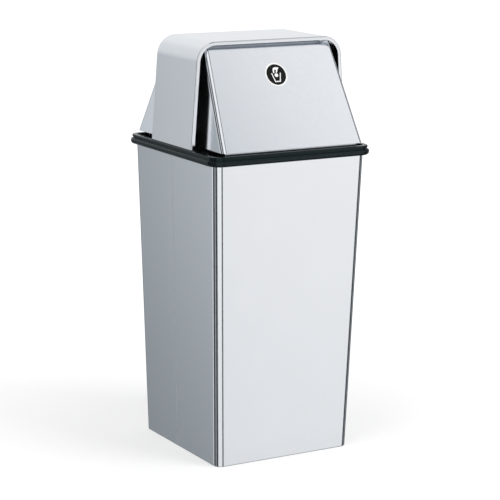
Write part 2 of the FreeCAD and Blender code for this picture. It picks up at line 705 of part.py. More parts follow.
def check_and_write():
    """Makes sure that every object built, then writes one file for each sub-part."""
    doc.recompute()
    for obj in doc.Objects:
        if "Invalid" in obj.State or "Error" in obj.State:
            raise RuntimeError(f"{obj.Label} did not build")
    for obj in nodes:
        if obj.Shape.isNull() or not obj.Shape.isValid():
            raise RuntimeError(f"{obj.Label} has no valid shape")
    os.makedirs("parts", exist_ok=True)
    for obj in nodes:
        obj.Shape.exportStep(f"parts/{obj.Label}.step")
        box = obj.Shape.BoundBox
        print(f"{obj.Label}: {len(obj.Shape.Solids)} solid(s), {obj.Shape.Volume / 1000:.2f} cm3, "
              f"{box.XLength:.1f} x {box.YLength:.1f} x {box.ZLength:.1f} mm, from z {box.ZMin:.1f}")


body_shell()
base_pan()
bumper()
lid_frame()
hood()
for flap_side in TURNS:
    hinge_rail(flap_side)
    hinge_leaves(flap_side)
    hinge_pin(flap_side)
    springs(flap_side)
    stop_buffers(flap_side)
    flap_panel(flap_side)
symbol_disc()
check_and_write()
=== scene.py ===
"""Studio scene of a floor-standing steel waste receptacle with an arched hood and two push flaps.

Size fields are in millimetres and angles in degrees. Meshes are in metres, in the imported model's frame:
+Z up, the floor at zero, the front flap towards -Y.
"""
import logging
import math
from dataclasses import dataclass, field
from enum import Enum
from typing import Any, Callable, Sequence

import bmesh
import bpy
from mathutils import Matrix, Vector


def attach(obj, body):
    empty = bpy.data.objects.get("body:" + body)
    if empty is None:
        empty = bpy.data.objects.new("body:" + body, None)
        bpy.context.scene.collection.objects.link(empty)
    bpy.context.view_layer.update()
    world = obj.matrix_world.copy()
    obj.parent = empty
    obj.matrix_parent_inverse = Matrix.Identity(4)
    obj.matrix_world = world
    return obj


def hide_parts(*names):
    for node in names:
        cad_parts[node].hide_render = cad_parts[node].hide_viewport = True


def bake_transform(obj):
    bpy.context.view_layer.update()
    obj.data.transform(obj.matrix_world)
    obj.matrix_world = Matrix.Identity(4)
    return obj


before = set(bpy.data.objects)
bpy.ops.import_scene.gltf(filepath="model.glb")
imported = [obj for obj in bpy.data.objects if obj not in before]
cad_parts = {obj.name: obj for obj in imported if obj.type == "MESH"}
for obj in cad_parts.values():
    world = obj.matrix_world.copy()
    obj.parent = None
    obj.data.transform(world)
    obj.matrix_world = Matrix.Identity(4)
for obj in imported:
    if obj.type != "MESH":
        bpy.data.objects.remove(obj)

LOG = logging.getLogger("waste_receptacle")
MM = 0.001
SAME_POINT = 1e-7
TINY = 1e-9
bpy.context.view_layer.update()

WHITE = (1.0, 1.0, 1.0, 1.0)

Triple = tuple[float, float, float]
Colour = Triple
Corner = Triple
Place = Triple
Outline = list[tuple[float, float]]
Stops = list[tuple[float, float]]

# Socket types of the node groups.
VECTOR, FLOAT, INTEGER = "NodeSocketVector", "NodeSocketFloat", "NodeSocketInt"
GEOMETRY, MATERIAL = "NodeSocketGeometry", "NodeSocketMaterial"


class Body(str, Enum):
    """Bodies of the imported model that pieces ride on."""

    BIN = "bin"
    LID = "lid"
    FRONT_FLAP = "front_flap"
    REAR_FLAP = "rear_flap"


class Slot(str, Enum):
    """Slots of the record that the pieces' materials belong to."""

    SATIN_STEEL = "satin_steel"
    HINGE_STEEL = "hinge_steel"
    SPRING_STEEL = "spring_steel"
    BLACK_RUBBER = "black_rubber"
    SIGN_PLASTIC = "sign_plastic"


class Side(Enum):
    """The two openings of the hood, with the turn that carries the front one's parts there."""

    FRONT = ("front", 0.0, Body.FRONT_FLAP)
    REAR = ("rear", 180.0, Body.REAR_FLAP)

    def __init__(self, label: str, turn: float, flap: Body) -> None:
        """Keeps what the two openings differ in.

        Args:
            label: Start of the names of its pieces.
            turn: Turn about the vertical axis from the front, in degrees.
            flap: The body of its flap.
        """
        self.label, self.turn, self.flap = label, turn, flap

    def matrix(self) -> Matrix:
        """The half turn, or none, about the vertical axis."""
        return Matrix.Rotation(math.radians(self.turn), 4, "Z")


# ---------------------------------------------------------------- node helpers


def add_node(tree: bpy.types.NodeTree, kind: str, inputs: dict[Any, Any] | None = None,
             **settings: Any) -> bpy.types.Node:
    """Adds a node, sets its properties, and links or fills its inputs.

    Args:
        tree: The tree that gets the node.
        kind: The node's type name.
        inputs: Input name or number to a socket to link, or to a plain value.
        **settings: Properties of the node.

    Returns:
        The new node.
    """
    node = tree.nodes.new(kind)
    for name, setting in settings.items():
        setattr(node, name, setting)
    for key, source in (inputs or {}).items():
        if isinstance(source, bpy.types.NodeSocket):
            tree.links.new(source, node.inputs[key])
        else:
            node.inputs[key].default_value = source
    return node


def calculate(tree: bpy.types.NodeTree, operation: str, *terms: Any) -> bpy.types.NodeSocket:
    """A Math node of any tree.

    Args:
        tree: The tree that gets the node.
        operation: The Math operation.
        *terms: Sockets or numbers, in order.

    Returns:
        The result's socket.
    """
    node = add_node(tree, "ShaderNodeMath", dict(enumerate(terms)), operation=operation)
    return node.outputs[0]


def vector_of(tree: bpy.types.NodeTree, x: Any = 0.0, y: Any = 0.0, z: Any = 0.0) -> bpy.types.NodeSocket:
    """A vector from its three parts, each a socket or a number."""
    return add_node(tree, "ShaderNodeCombineXYZ", {0: x, 1: y, 2: z}).outputs[0]


def blend_levels(tree: bpy.types.NodeTree, factor: Any, first: Any, second: Any) -> bpy.types.NodeSocket:
    """A Mix node for numbers, where factor is the share of the second one."""
    return add_node(tree, "ShaderNodeMix", {0: factor, 2: first, 3: second}, data_type="FLOAT").outputs[0]


def blend_colours(tree: bpy.types.NodeTree, factor: Any, first: Any, second: Any) -> bpy.types.NodeSocket:
    """A Mix node for colours, where factor is the share of the second one."""
    return add_node(tree, "ShaderNodeMix", {0: factor, 6: first, 7: second}, data_type="RGBA").outputs[2]


def new_group(name: str, kind: str, inputs: dict[str, tuple[str, Any]],
              outputs: dict[str, str]) -> tuple[bpy.types.NodeTree, bpy.types.Node, bpy.types.Node]:
    """An empty node group with named sockets.

    Args:
        name: The group's name.
        kind: ShaderNodeTree or GeometryNodeTree.
        inputs: Name to socket type and default, None where it has none.
        outputs: Name to socket type.

    Returns:
        The tree, its input node and its output node.
    """
    tree = bpy.data.node_groups.new(name, kind)
    for label, (socket_type, default) in inputs.items():
        socket = tree.interface.new_socket(name=label, in_out="INPUT", socket_type=socket_type)
        if default is not None:
            socket.default_value = default
    for label, socket_type in outputs.items():
        tree.interface.new_socket(name=label, in_out="OUTPUT", socket_type=socket_type)
    return tree, tree.nodes.new("NodeGroupInput"), tree.nodes.new("NodeGroupOutput")


# ---------------------------------------------------------------- shared surface effects


class Effects:
    """Shader groups that several finishes share, each made once."""

    FINE_SHARE, BROAD_SHARE, BROAD_SCALE = 0.6, 0.4, 0.07
    MARKS_TOP, MARKS_REACH, MARKS_SOFTNESS = 0.85, 0.6, 0.25
    CHIPS_FROM, CHIPS_FULL = 0.42, 0.62
    DUST_SCALE = 55.0

    def __init__(self) -> None:
        """Builds the groups."""
        self.grain = self._grain()
        self.marks = self._marks()
        self.wear = self._wear()
        self.dust = self._dust()

    @classmethod
    def _grain(cls) -> bpy.types.NodeTree:
        """Fine lines left by a polishing belt, long along one direction.

        Returns:
            A group with the outputs Tone and Height, both about 0 to 1.
        """
        tree, given, result = new_group(
            "polishing_grain", "ShaderNodeTree",
            {"Vector": (VECTOR, None), "Stretch": (VECTOR, (900.0, 900.0, 14.0)), "Detail": (FLOAT, 4.0)},
            {"Tone": FLOAT, "Height": FLOAT})
        scaled = add_node(tree, "ShaderNodeVectorMath", {0: given.outputs["Vector"], 1: given.outputs["Stretch"]},
                          operation="MULTIPLY")
        fine = add_node(tree, "ShaderNodeTexNoise",
                        {"Vector": scaled.outputs[0], "Scale": 1.0, "Detail": given.outputs["Detail"]})
        broad = add_node(tree, "ShaderNodeTexNoise",
                         {"Vector": scaled.outputs[0], "Scale": cls.BROAD_SCALE, "Detail": 2.0})
        mixed = calculate(tree, "ADD", calculate(tree, "MULTIPLY", fine.outputs[0], cls.FINE_SHARE),
                          calculate(tree, "MULTIPLY", broad.outputs[0], cls.BROAD_SHARE))
        tree.links.new(mixed, result.inputs["Tone"])
        tree.links.new(fine.outputs[0], result.inputs["Height"])
        return tree

    @classmethod
    def _marks(cls) -> bpy.types.NodeTree:
        """Cloudy handling marks that dull or polish patches of a surface.

        Returns:
            A group with the output Mask, 0 to 1.
        """
        tree, given, result = new_group(
            "handling_marks", "ShaderNodeTree",
            {"Vector": (VECTOR, None), "Scale": (FLOAT, 9.0), "Cover": (FLOAT, 0.5)}, {"Mask": FLOAT})
        cloud = add_node(tree, "ShaderNodeTexNoise",
                         {"Vector": given.outputs["Vector"], "Scale": given.outputs["Scale"], "Detail": 5.0,
                          "Roughness": 0.6, "Distortion": 0.4})
        covered = calculate(tree, "MULTIPLY", given.outputs["Cover"], cls.MARKS_REACH)
        full = calculate(tree, "SUBTRACT", cls.MARKS_TOP, covered)
        ranged = add_node(tree, "ShaderNodeMapRange",
                          {0: cloud.outputs[0], 1: calculate(tree, "SUBTRACT", full, cls.MARKS_SOFTNESS), 2: full},
                          interpolation_type="SMOOTHSTEP")
        tree.links.new(ranged.outputs[0], result.inputs["Mask"])
        return tree

    @classmethod
    def _wear(cls) -> bpy.types.NodeTree:
        """Rubbed edges: a mask along the bends, broken up by noise.

        Returns:
            A group with the output Mask, 0 to 1.
        """
        tree, given, result = new_group(
            "edge_wear", "ShaderNodeTree",
            {"Vector": (VECTOR, None), "Edge": (FLOAT, 0.0), "Scale": (FLOAT, 160.0), "Amount": (FLOAT, 0.5)},
            {"Mask": FLOAT})
        chips = add_node(tree, "ShaderNodeTexNoise",
                         {"Vector": given.outputs["Vector"], "Scale": given.outputs["Scale"], "Detail": 4.0})
        broken = add_node(tree, "ShaderNodeMapRange", {0: chips.outputs[0], 1: cls.CHIPS_FROM, 2: cls.CHIPS_FULL},
                          interpolation_type="SMOOTHSTEP")
        mask = calculate(tree, "MULTIPLY", calculate(tree, "MULTIPLY", broken.outputs[0], given.outputs["Edge"]),
                         given.outputs["Amount"])
        tree.links.new(mask, result.inputs["Mask"])
        return tree

    @classmethod
    def _dust(cls) -> bpy.types.NodeTree:
        """Dust that gathers below a height.

        Returns:
            A group with the output Mask, 0 to 1.
        """
        tree, given, result = new_group(
            "settled_dust", "ShaderNodeTree",
            {"Vector": (VECTOR, None), "Top": (FLOAT, 0.06), "Foot": (FLOAT, 0.0), "Amount": (FLOAT, 0.3)},
            {"Mask": FLOAT})
        parts = add_node(tree, "ShaderNodeSeparateXYZ", {0: given.outputs["Vector"]})
        fall = add_node(tree, "ShaderNodeMapRange",
                        {0: parts.outputs[2], 1: given.outputs["Top"], 2: given.outputs["Foot"]},
                        interpolation_type="SMOOTHSTEP")
        cloud = add_node(tree, "ShaderNodeTexNoise",
                         {"Vector": given.outputs["Vector"], "Scale": cls.DUST_SCALE, "Detail": 5.0})
        mask = calculate(tree, "MULTIPLY", calculate(tree, "MULTIPLY", fall.outputs[0], cloud.outputs[0]),
                         given.outputs["Amount"])
        tree.links.new(mask, result.inputs["Mask"])
        return tree


# ---------------------------------------------------------------- finishes

DUST_COLOUR = (0.42, 0.40, 0.37, 1.0)
DUST_ROUGHNESS = 0.4
GRAIN_DEPTH = 0.0004


@dataclass(frozen=True)
class Finish:
    """A surface finish: its base look and how far each shared effect shows.

    Attributes:
        name: The material's name.
        colour: Base colour.
        worn: Colour of rubbed edges and marks.
        metallic: 1 for bare metal, 0 otherwise.
        roughness: Roughness of the clean surface.
        rough_swing: How far the grain moves the roughness.
        marks: Added roughness of handling marks.
        grain: Stretch of the polishing grain, per metre along X, Y and Z.
        tone_swing: How far the grain moves the colour.
        bump: Strength of the grain's relief.
        wear: Amount of edge wear.
        dust: Amount of settled dust.
        coat: Weight of a clear coat.
        specular: Specular level of a surface that is no metal.
        gleam: Tint of what such a surface mirrors.
    """

    name: str
    colour: Colour
    worn: Colour
    metallic: float = 0.0
    roughness: float = 0.4
    rough_swing: float = 0.06
    marks: float = 0.06
    grain: Triple = (420.0, 420.0, 420.0)
    tone_swing: float = 0.06
    bump: float = 0.05
    wear: float = 0.4
    dust: float = 0.0
    coat: float = 0.0
    specular: float = 0.5
    gleam: Colour = (1.0, 1.0, 1.0)

    def material(self, effects: Effects) -> bpy.types.Material:
        """Builds the node material.

        Args:
            effects: The shared shader groups.

        Returns:
            The finished material.
        """
        material = bpy.data.materials.new(self.name)
        material.use_nodes = True
        tree = material.node_tree
        shader = tree.nodes["Principled BSDF"]
        here = add_node(tree, "ShaderNodeTexCoord").outputs["Object"]
        edge = add_node(tree, "ShaderNodeAttribute", attribute_name="edge").outputs["Fac"]
        grain, marks, wear, dust = (
            add_node(tree, "ShaderNodeGroup", node_tree=group)
            for group in (effects.grain, effects.marks, effects.wear, effects.dust))
        for effect in (grain, marks, wear, dust):
            tree.links.new(here, effect.inputs["Vector"])
        tree.links.new(edge, wear.inputs["Edge"])
        grain.inputs["Stretch"].default_value = self.grain
        wear.inputs["Amount"].default_value = self.wear
        dust.inputs["Amount"].default_value = self.dust
        dark = tuple(part * (1.0 - self.tone_swing) for part in self.colour) + (1.0,)
        light = tuple(min(part * (1.0 + self.tone_swing), 1.0) for part in self.colour) + (1.0,)
        ground = blend_colours(tree, grain.outputs["Tone"], dark, light)
        rubbed = blend_colours(tree, wear.outputs["Mask"], ground, self.worn + (1.0,))
        dusted = blend_colours(tree, dust.outputs["Mask"], rubbed, DUST_COLOUR)
        tree.links.new(dusted, shader.inputs["Base Color"])
        swung = calculate(tree, "MULTIPLY_ADD", grain.outputs["Tone"], self.rough_swing,
                          self.roughness - self.rough_swing / 2)
        marked = calculate(tree, "MULTIPLY_ADD", marks.outputs["Mask"], self.marks, swung)
        dulled = calculate(tree, "MULTIPLY_ADD", dust.outputs["Mask"], DUST_ROUGHNESS, marked)
        tree.links.new(dulled, shader.inputs["Roughness"])
        relief = add_node(tree, "ShaderNodeBump", {"Height": grain.outputs["Height"], "Strength": self.bump,
                                                   "Distance": GRAIN_DEPTH})
        tree.links.new(relief.outputs[0], shader.inputs["Normal"])
        for socket, setting in (("Metallic", self.metallic), ("Coat Weight", self.coat),
                                ("Specular IOR Level", self.specular), ("Specular Tint", self.gleam + (1.0,))):
            shader.inputs[socket].default_value = setting
        return material


class Workshop:
    """Holds the shared effects and the materials made so far."""

    SATIN: dict[str, float] = {"metallic": 1.0, "roughness": 0.15, "marks": 0.012, "tone_swing": 0.03, "bump": 0.014,
                               "wear": 0.25}
    STEEL_UPRIGHT = Finish("satin_steel_upright", (0.855, 0.872, 0.90), (0.92, 0.92, 0.93), rough_swing=0.04,
                           grain=(1500.0, 1500.0, 10.0), dust=0.05, **SATIN)
    STEEL_ARCHED = Finish("satin_steel_arched", (0.855, 0.872, 0.90), (0.92, 0.92, 0.93), rough_swing=0.04,
                          grain=(10.0, 1500.0, 10.0), **SATIN)
    STEEL_SLOPED = Finish("satin_steel_sloped", (0.85, 0.876, 0.918), (0.93, 0.93, 0.94), rough_swing=0.05,
                          grain=(1500.0, 10.0, 10.0), **SATIN)
    WELD = Finish("ground_weld", (0.84, 0.85, 0.87), (0.92, 0.92, 0.93), metallic=1.0, roughness=0.30,
                  rough_swing=0.12, marks=0.05, grain=(500.0, 900.0, 300.0), tone_swing=0.08, bump=0.12, wear=0.4)
    ZINC = Finish("zinc_sheet", (0.56, 0.58, 0.60), (0.70, 0.71, 0.72), metallic=1.0, roughness=0.42,
                  rough_swing=0.14, marks=0.14, grain=(60.0, 60.0, 60.0), tone_swing=0.16, bump=0.06, dust=0.7)
    PLAIN_STEEL = Finish("plain_steel", (0.50, 0.515, 0.525), (0.68, 0.68, 0.68), metallic=1.0, roughness=0.48,
                         rough_swing=0.10, marks=0.12, grain=(20.0, 700.0, 700.0), tone_swing=0.10, bump=0.05)
    HINGE_STEEL = Finish("hinge_steel", (0.54, 0.55, 0.56), (0.72, 0.72, 0.72), metallic=1.0, roughness=0.42,
                         rough_swing=0.10, marks=0.10, grain=(24.0, 900.0, 900.0), tone_swing=0.08, bump=0.05)
    SPRING_STEEL = Finish("spring_steel", (0.36, 0.37, 0.39), (0.60, 0.60, 0.60), metallic=1.0, roughness=0.28,
                          rough_swing=0.08, marks=0.10, grain=(900.0, 900.0, 900.0), tone_swing=0.12, bump=0.04)
    RIVET = Finish("rivet_metal", (0.70, 0.71, 0.72), (0.85, 0.85, 0.85), metallic=1.0, roughness=0.33,
                   rough_swing=0.10, marks=0.12, grain=(700.0, 700.0, 700.0), tone_swing=0.08, bump=0.06)
    ENAMEL = Finish("black_enamel", (0.022, 0.023, 0.025), (0.20, 0.20, 0.20), roughness=0.34, rough_swing=0.06,
                    marks=0.12, grain=(650.0, 650.0, 650.0), tone_swing=0.12, bump=0.10, coat=0.3)
    RUBBER = Finish("black_rubber", (0.006, 0.0095, 0.010), (0.03, 0.035, 0.036), roughness=0.16, rough_swing=0.05,
                    marks=0.06, grain=(420.0, 420.0, 420.0), tone_swing=0.10, bump=0.02, wear=0.2, specular=0.24,
                    gleam=(0.74, 0.98, 1.0))
    SIGN_WHITE = Finish("sign_white", (0.86, 0.86, 0.85), (0.70, 0.69, 0.66), roughness=0.30, rough_swing=0.05,
                        marks=0.10, grain=(900.0, 900.0, 900.0), tone_swing=0.02, bump=0.03)
    SIGN_BLACK = Finish("sign_black", (0.006, 0.0065, 0.007), (0.03, 0.03, 0.03), roughness=0.30, rough_swing=0.05,
                        marks=0.10, grain=(900.0, 900.0, 900.0), tone_swing=0.08, bump=0.03, specular=0.16)

    def __init__(self) -> None:
        """Makes the shared effects."""
        self.effects = Effects()
        self.made: dict[str, bpy.types.Material] = {}

    def material(self, finish: Finish) -> bpy.types.Material:
        """The material of a finish, made on first use.

        Args:
            finish: The finish.

        Returns:
            Its material.
        """
        if finish.name not in self.made:
            self.made[finish.name] = finish.material(self.effects)
        return self.made[finish.name]

    def dress_node(self, name: str, finish: Finish) -> None:
        """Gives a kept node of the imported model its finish.

        Args:
            name: The node's name.
            finish: The finish that it gets.
        """
        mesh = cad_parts[name].data
        mesh.materials.clear()
        mesh.materials.append(self.material(finish))
        LOG.info("node %s: %s", name, finish.name)


# ---------------------------------------------------------------- sections and sheet meshes


@dataclass(frozen=True)
class SectionPoint:
    """A point of a closed section.

    Attributes:
        place: Across and up.
        normal: Outward normal.
        edge: Share of edge wear, 1 on an outer bend.
    """

    place: Vector
    normal: Vector
    edge: float


def rounded_section(corners: Sequence[Corner], steps: int = 5) -> list[SectionPoint]:
    """Rounds each corner of a closed outline that runs anticlockwise.

    Args:
        corners: Across, up and radius of each corner.
        steps: Steps in each rounding.

    Returns:
        The points of the section with exact normals.
    """
    points: list[SectionPoint] = []
    for number, (across, up, radius) in enumerate(corners):
        here = Vector((across, up))
        arriving = (here - Vector(corners[number - 1][:2])).normalized()
        leaving = (Vector(corners[(number + 1) % len(corners)][:2]) - here).normalized()
        turn = math.atan2(arriving.x * leaving.y - arriving.y * leaving.x, arriving.dot(leaving))
        side = math.copysign(1.0, turn)
        first = Vector((arriving.y, -arriving.x))
        centre = here - arriving * (radius * math.tan(abs(turn) / 2)) - first * (radius * side)
        for step in range(steps + 1):
            angle = turn * step / steps
            normal = Vector((first.x * math.cos(angle) - first.y * math.sin(angle),
                             first.x * math.sin(angle) + first.y * math.cos(angle)))
            points.append(SectionPoint(centre + normal * (radius * side), normal, 1.0 if side > 0 else 0.0))
    return points


class SheetMesh:
    """Collects points and faces, in millimetres, with an exact normal for each face corner."""

    def __init__(self) -> None:
        """Starts without points and faces."""
        self.points: list[Vector] = []
        self.edges: list[float] = []
        self.faces: list[list[int]] = []
        self.normals: list[Vector] = []

    def point(self, place: Vector, edge: float = 0.0) -> int:
        """Adds a point.

        Args:
            place: Where it lies.
            edge: Its share of edge wear.

        Returns:
            Its number.
        """
        self.points.append(place)
        self.edges.append(edge)
        return len(self.points) - 1

    def face(self, corners: Sequence[int], normals: Sequence[Vector]) -> None:
        """Adds a face, wound so that it faces along its normals.

        Args:
            corners: Numbers of its points, in order round the face.
            normals: The normal at each of them.
        """
        spots = [self.points[corner] for corner in corners]
        facing = sum((spots[i].cross(spots[(i + 1) % len(spots)]) for i in range(len(spots))), Vector())
        order = list(range(len(corners)))
        if facing.dot(sum(normals, Vector())) < 0:
            order.reverse()
        self.faces.append([corners[i] for i in order])
        self.normals.extend(normals[i] for i in order)

    def grid(self, rows: Sequence[Sequence[int]], normals: Sequence[Sequence[Vector]], closed: bool) -> None:
        """Adds the faces between rows of points, each row closed on itself.

        Args:
            rows: Point numbers of each row.
            normals: The normals of the same points.
            closed: True where the last row joins the first.
        """
        for first in range(len(rows) if closed else len(rows) - 1):
            second = (first + 1) % len(rows)
            for left in range(len(rows[first])):
                right = (left + 1) % len(rows[first])
                self.face([rows[first][left], rows[first][right], rows[second][right], rows[second][left]],
                          [normals[first][left], normals[first][right], normals[second][right],
                           normals[second][left]])

    def cap(self, row: Sequence[int], normal: Vector) -> None:
        """Closes the end of a swept section with one flat face."""
        self.face(list(row), [normal] * len(row))

    def piece(self, name: str, material: bpy.types.Material, place: Matrix | None = None) -> bpy.types.Object:
        """Makes the finished object.

        Args:
            name: The piece's name.
            material: Its material.
            place: Where the points go, in millimetres, or None where they are in place.

        Returns:
            The object, at the origin, with its place in its mesh.
        """
        place = place or Matrix.Identity(4)
        turn = place.to_3x3()
        mesh = bpy.data.meshes.new(name)
        mesh.from_pydata([(place @ spot) * MM for spot in self.points], [], self.faces)
        mesh.attributes.new("edge", "FLOAT", "POINT").data.foreach_set("value", self.edges)
        mesh.polygons.foreach_set("use_smooth", [True] * len(mesh.polygons))
        mesh.normals_split_custom_set([(turn @ normal).normalized() for normal in self.normals])
        mesh.materials.append(material)
        obj = bpy.data.objects.new(name, mesh)
        bpy.context.collection.objects.link(obj)
        return obj


def sweep_ring(mesh: SheetMesh, section: Sequence[SectionPoint], flat: float, lean: float, steps: int = 16) -> None:
    """Sweeps a section round a square whose corners are round.

    Args:
        mesh: The mesh that gets the faces.
        section: Across is the distance from a corner's centre, up is the height.
        flat: Half the straight run of a side at height zero.
        lean: How far that half grows for each unit of height.
        steps: Steps in each corner.
    """
    rows, normals = [], []
    for corner in range(4):
        sign_x, sign_y = (1, -1, -1, 1)[corner], (1, 1, -1, -1)[corner]
        for step in range(steps + 1):
            angle = math.radians(90.0 * (corner + step / steps))
            ahead = Vector((math.cos(angle), math.sin(angle), 0.0))
            outward = sign_x * ahead.x + sign_y * ahead.y
            row, facing = [], []
            for spot in section:
                reach = flat + lean * spot.place.y
                place = ahead * spot.place.x + Vector((sign_x * reach, sign_y * reach, spot.place.y))
                row.append(mesh.point(place, spot.edge))
                normal = ahead * spot.normal.x
                normal.z = spot.normal.y - lean * spot.normal.x * outward
                facing.append(normal.normalized())
            rows.append(row)
            normals.append(facing)
    mesh.grid(rows, normals, closed=True)


def extrude(mesh: SheetMesh, section: Sequence[SectionPoint], frame_of: Callable[[float, float, float], Vector],
            start: float, end: float) -> None:
    """Runs a section straight from start to end and closes both ends.

    Args:
        mesh: The mesh that gets the faces.
        section: The section.
        frame_of: Place of a point from its run, across and up.
        start: Where the run begins.
        end: Where it ends.
    """
    origin = frame_of(0.0, 0.0, 0.0)
    along = (frame_of(1.0, 0.0, 0.0) - origin).normalized()
    rows, normals = [], []
    for run in (start, end):
        rows.append([mesh.point(frame_of(run, spot.place.x, spot.place.y), spot.edge) for spot in section])
        normals.append([frame_of(0.0, spot.normal.x, spot.normal.y) - origin for spot in section])
    mesh.grid(rows, normals, closed=False)
    mesh.cap(rows[0], -along)
    mesh.cap(rows[1], along)


def settle(obj: bpy.types.Object) -> bpy.types.Object:
    """Turns an object whose shape comes from live nodes into a plain mesh.

    Args:
        obj: The object, with its modifiers.

    Returns:
        The same object, with the result as its mesh and no modifier.
    """
    graph = bpy.context.evaluated_depsgraph_get()
    result = bpy.data.meshes.new_from_object(obj.evaluated_get(graph), depsgraph=graph)
    obj.modifiers.clear()
    obj.data = result
    return obj


def run_nodes(name: str, mesh: bpy.types.Mesh, tree: bpy.types.NodeTree, values: dict[str, Any]) -> bpy.types.Object:
    """Runs a geometry tree on a mesh and keeps the plain result.

    Args:
        name: The piece's name.
        mesh: What the tree starts from.
        tree: The geometry tree.
        values: Input name to value.

    Returns:
        The finished object.
    """
    obj = bpy.data.objects.new(name, mesh)
    bpy.context.collection.objects.link(obj)
    modifier = obj.modifiers.new("shape", "NODES")
    modifier.node_group = tree
    for item in tree.interface.items_tree:
        if item.item_type == "SOCKET" and item.in_out == "INPUT" and item.name in values:
            modifier[item.identifier] = values[item.name]
    return settle(obj)


def seat(obj: bpy.types.Object, body: Body, slot: Slot, *nodes: str) -> None:
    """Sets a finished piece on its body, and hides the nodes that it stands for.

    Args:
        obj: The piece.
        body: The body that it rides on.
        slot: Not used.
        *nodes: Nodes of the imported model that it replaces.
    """
    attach(obj, body.value)
    if nodes:
        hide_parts(*nodes)
    LOG.info("piece %s rides on %s, %d faces", obj.name, body.value, len(obj.data.polygons))


# ---------------------------------------------------------------- the bin


@dataclass
class BinBody:
    """Tapered sheet body with its welded seam, and the pan that is its floor."""

    workshop: Workshop
    rim_height: float = 671.0
    top_flat: float = 169.3
    floor_flat: float = 150.3
    corner_radius: float = 17.0
    gauge: float = 1.2
    rim_flange: float = 8.0
    foot_flange: float = 16.0
    bend: float = 1.4
    cut_round: float = 0.3
    seam_place: float = 12.0
    seam_width: float = 2.6
    seam_rise: float = 0.22
    seam_root: float = 0.3
    seam_crown: float = 0.6
    seam_root_round: float = 0.05
    seam_crown_round: float = 0.15
    seam_foot: float = 3.0
    seam_head_gap: float = 9.0

    @property
    def lean(self) -> float:
        """How far a side moves out for each unit of height."""
        return (self.top_flat - self.floor_flat) / self.rim_height

    def build(self) -> None:
        """Builds the shell and its seam."""
        self.shell()
        self.seam()

    def shell(self) -> None:
        """The folded body, with its rim turned out and its foot turned in."""
        wall, inside = self.corner_radius, self.corner_radius - self.gauge
        tip, toe = wall + self.rim_flange, wall - self.foot_flange
        under, top = self.rim_height - self.gauge, self.rim_height
        outer_bend = self.bend + self.gauge
        section = rounded_section([
            (toe, 0.0, self.cut_round), (wall, 0.0, outer_bend), (wall, under, self.bend),
            (tip, under, self.cut_round), (tip, top, self.cut_round), (inside, top, outer_bend),
            (inside, self.gauge, self.bend), (toe, self.gauge, self.cut_round)])
        mesh = SheetMesh()
        sweep_ring(mesh, section, self.floor_flat, self.lean)
        obj = mesh.piece("body_shell_sheet", self.workshop.material(Workshop.STEEL_UPRIGHT))
        seat(obj, Body.BIN, Slot.SATIN_STEEL, "body_shell")

    def seam(self) -> None:
        """The ground weld that closes the folded sheet, near the middle of the left side."""
        half, root, rise = self.seam_width / 2, -self.seam_root, self.seam_rise
        crown, crown_round = half * self.seam_crown, self.seam_crown_round
        section = rounded_section([(-half, root, self.seam_root_round), (half, root, self.seam_root_round),
                                   (crown, rise, crown_round), (-crown, rise, crown_round)], steps=3)

        def on_wall(run: float, across: float, up: float) -> Vector:
            """A point on the left wall: run is the height, across lies along the wall, up stands off it."""
            wall = self.floor_flat + self.corner_radius + self.lean * run
            return Vector((-wall - up, self.seam_place + across, run))

        mesh = SheetMesh()
        extrude(mesh, section, on_wall, self.seam_foot, self.rim_height - self.gauge - self.seam_head_gap)
        obj = mesh.piece("body_seam", self.workshop.material(Workshop.WELD))
        seat(obj, Body.BIN, Slot.SATIN_STEEL)

    def dress(self) -> None:
        """Finishes the kept floor pan."""
        self.workshop.dress_node("base_pan", Workshop.ZINC)


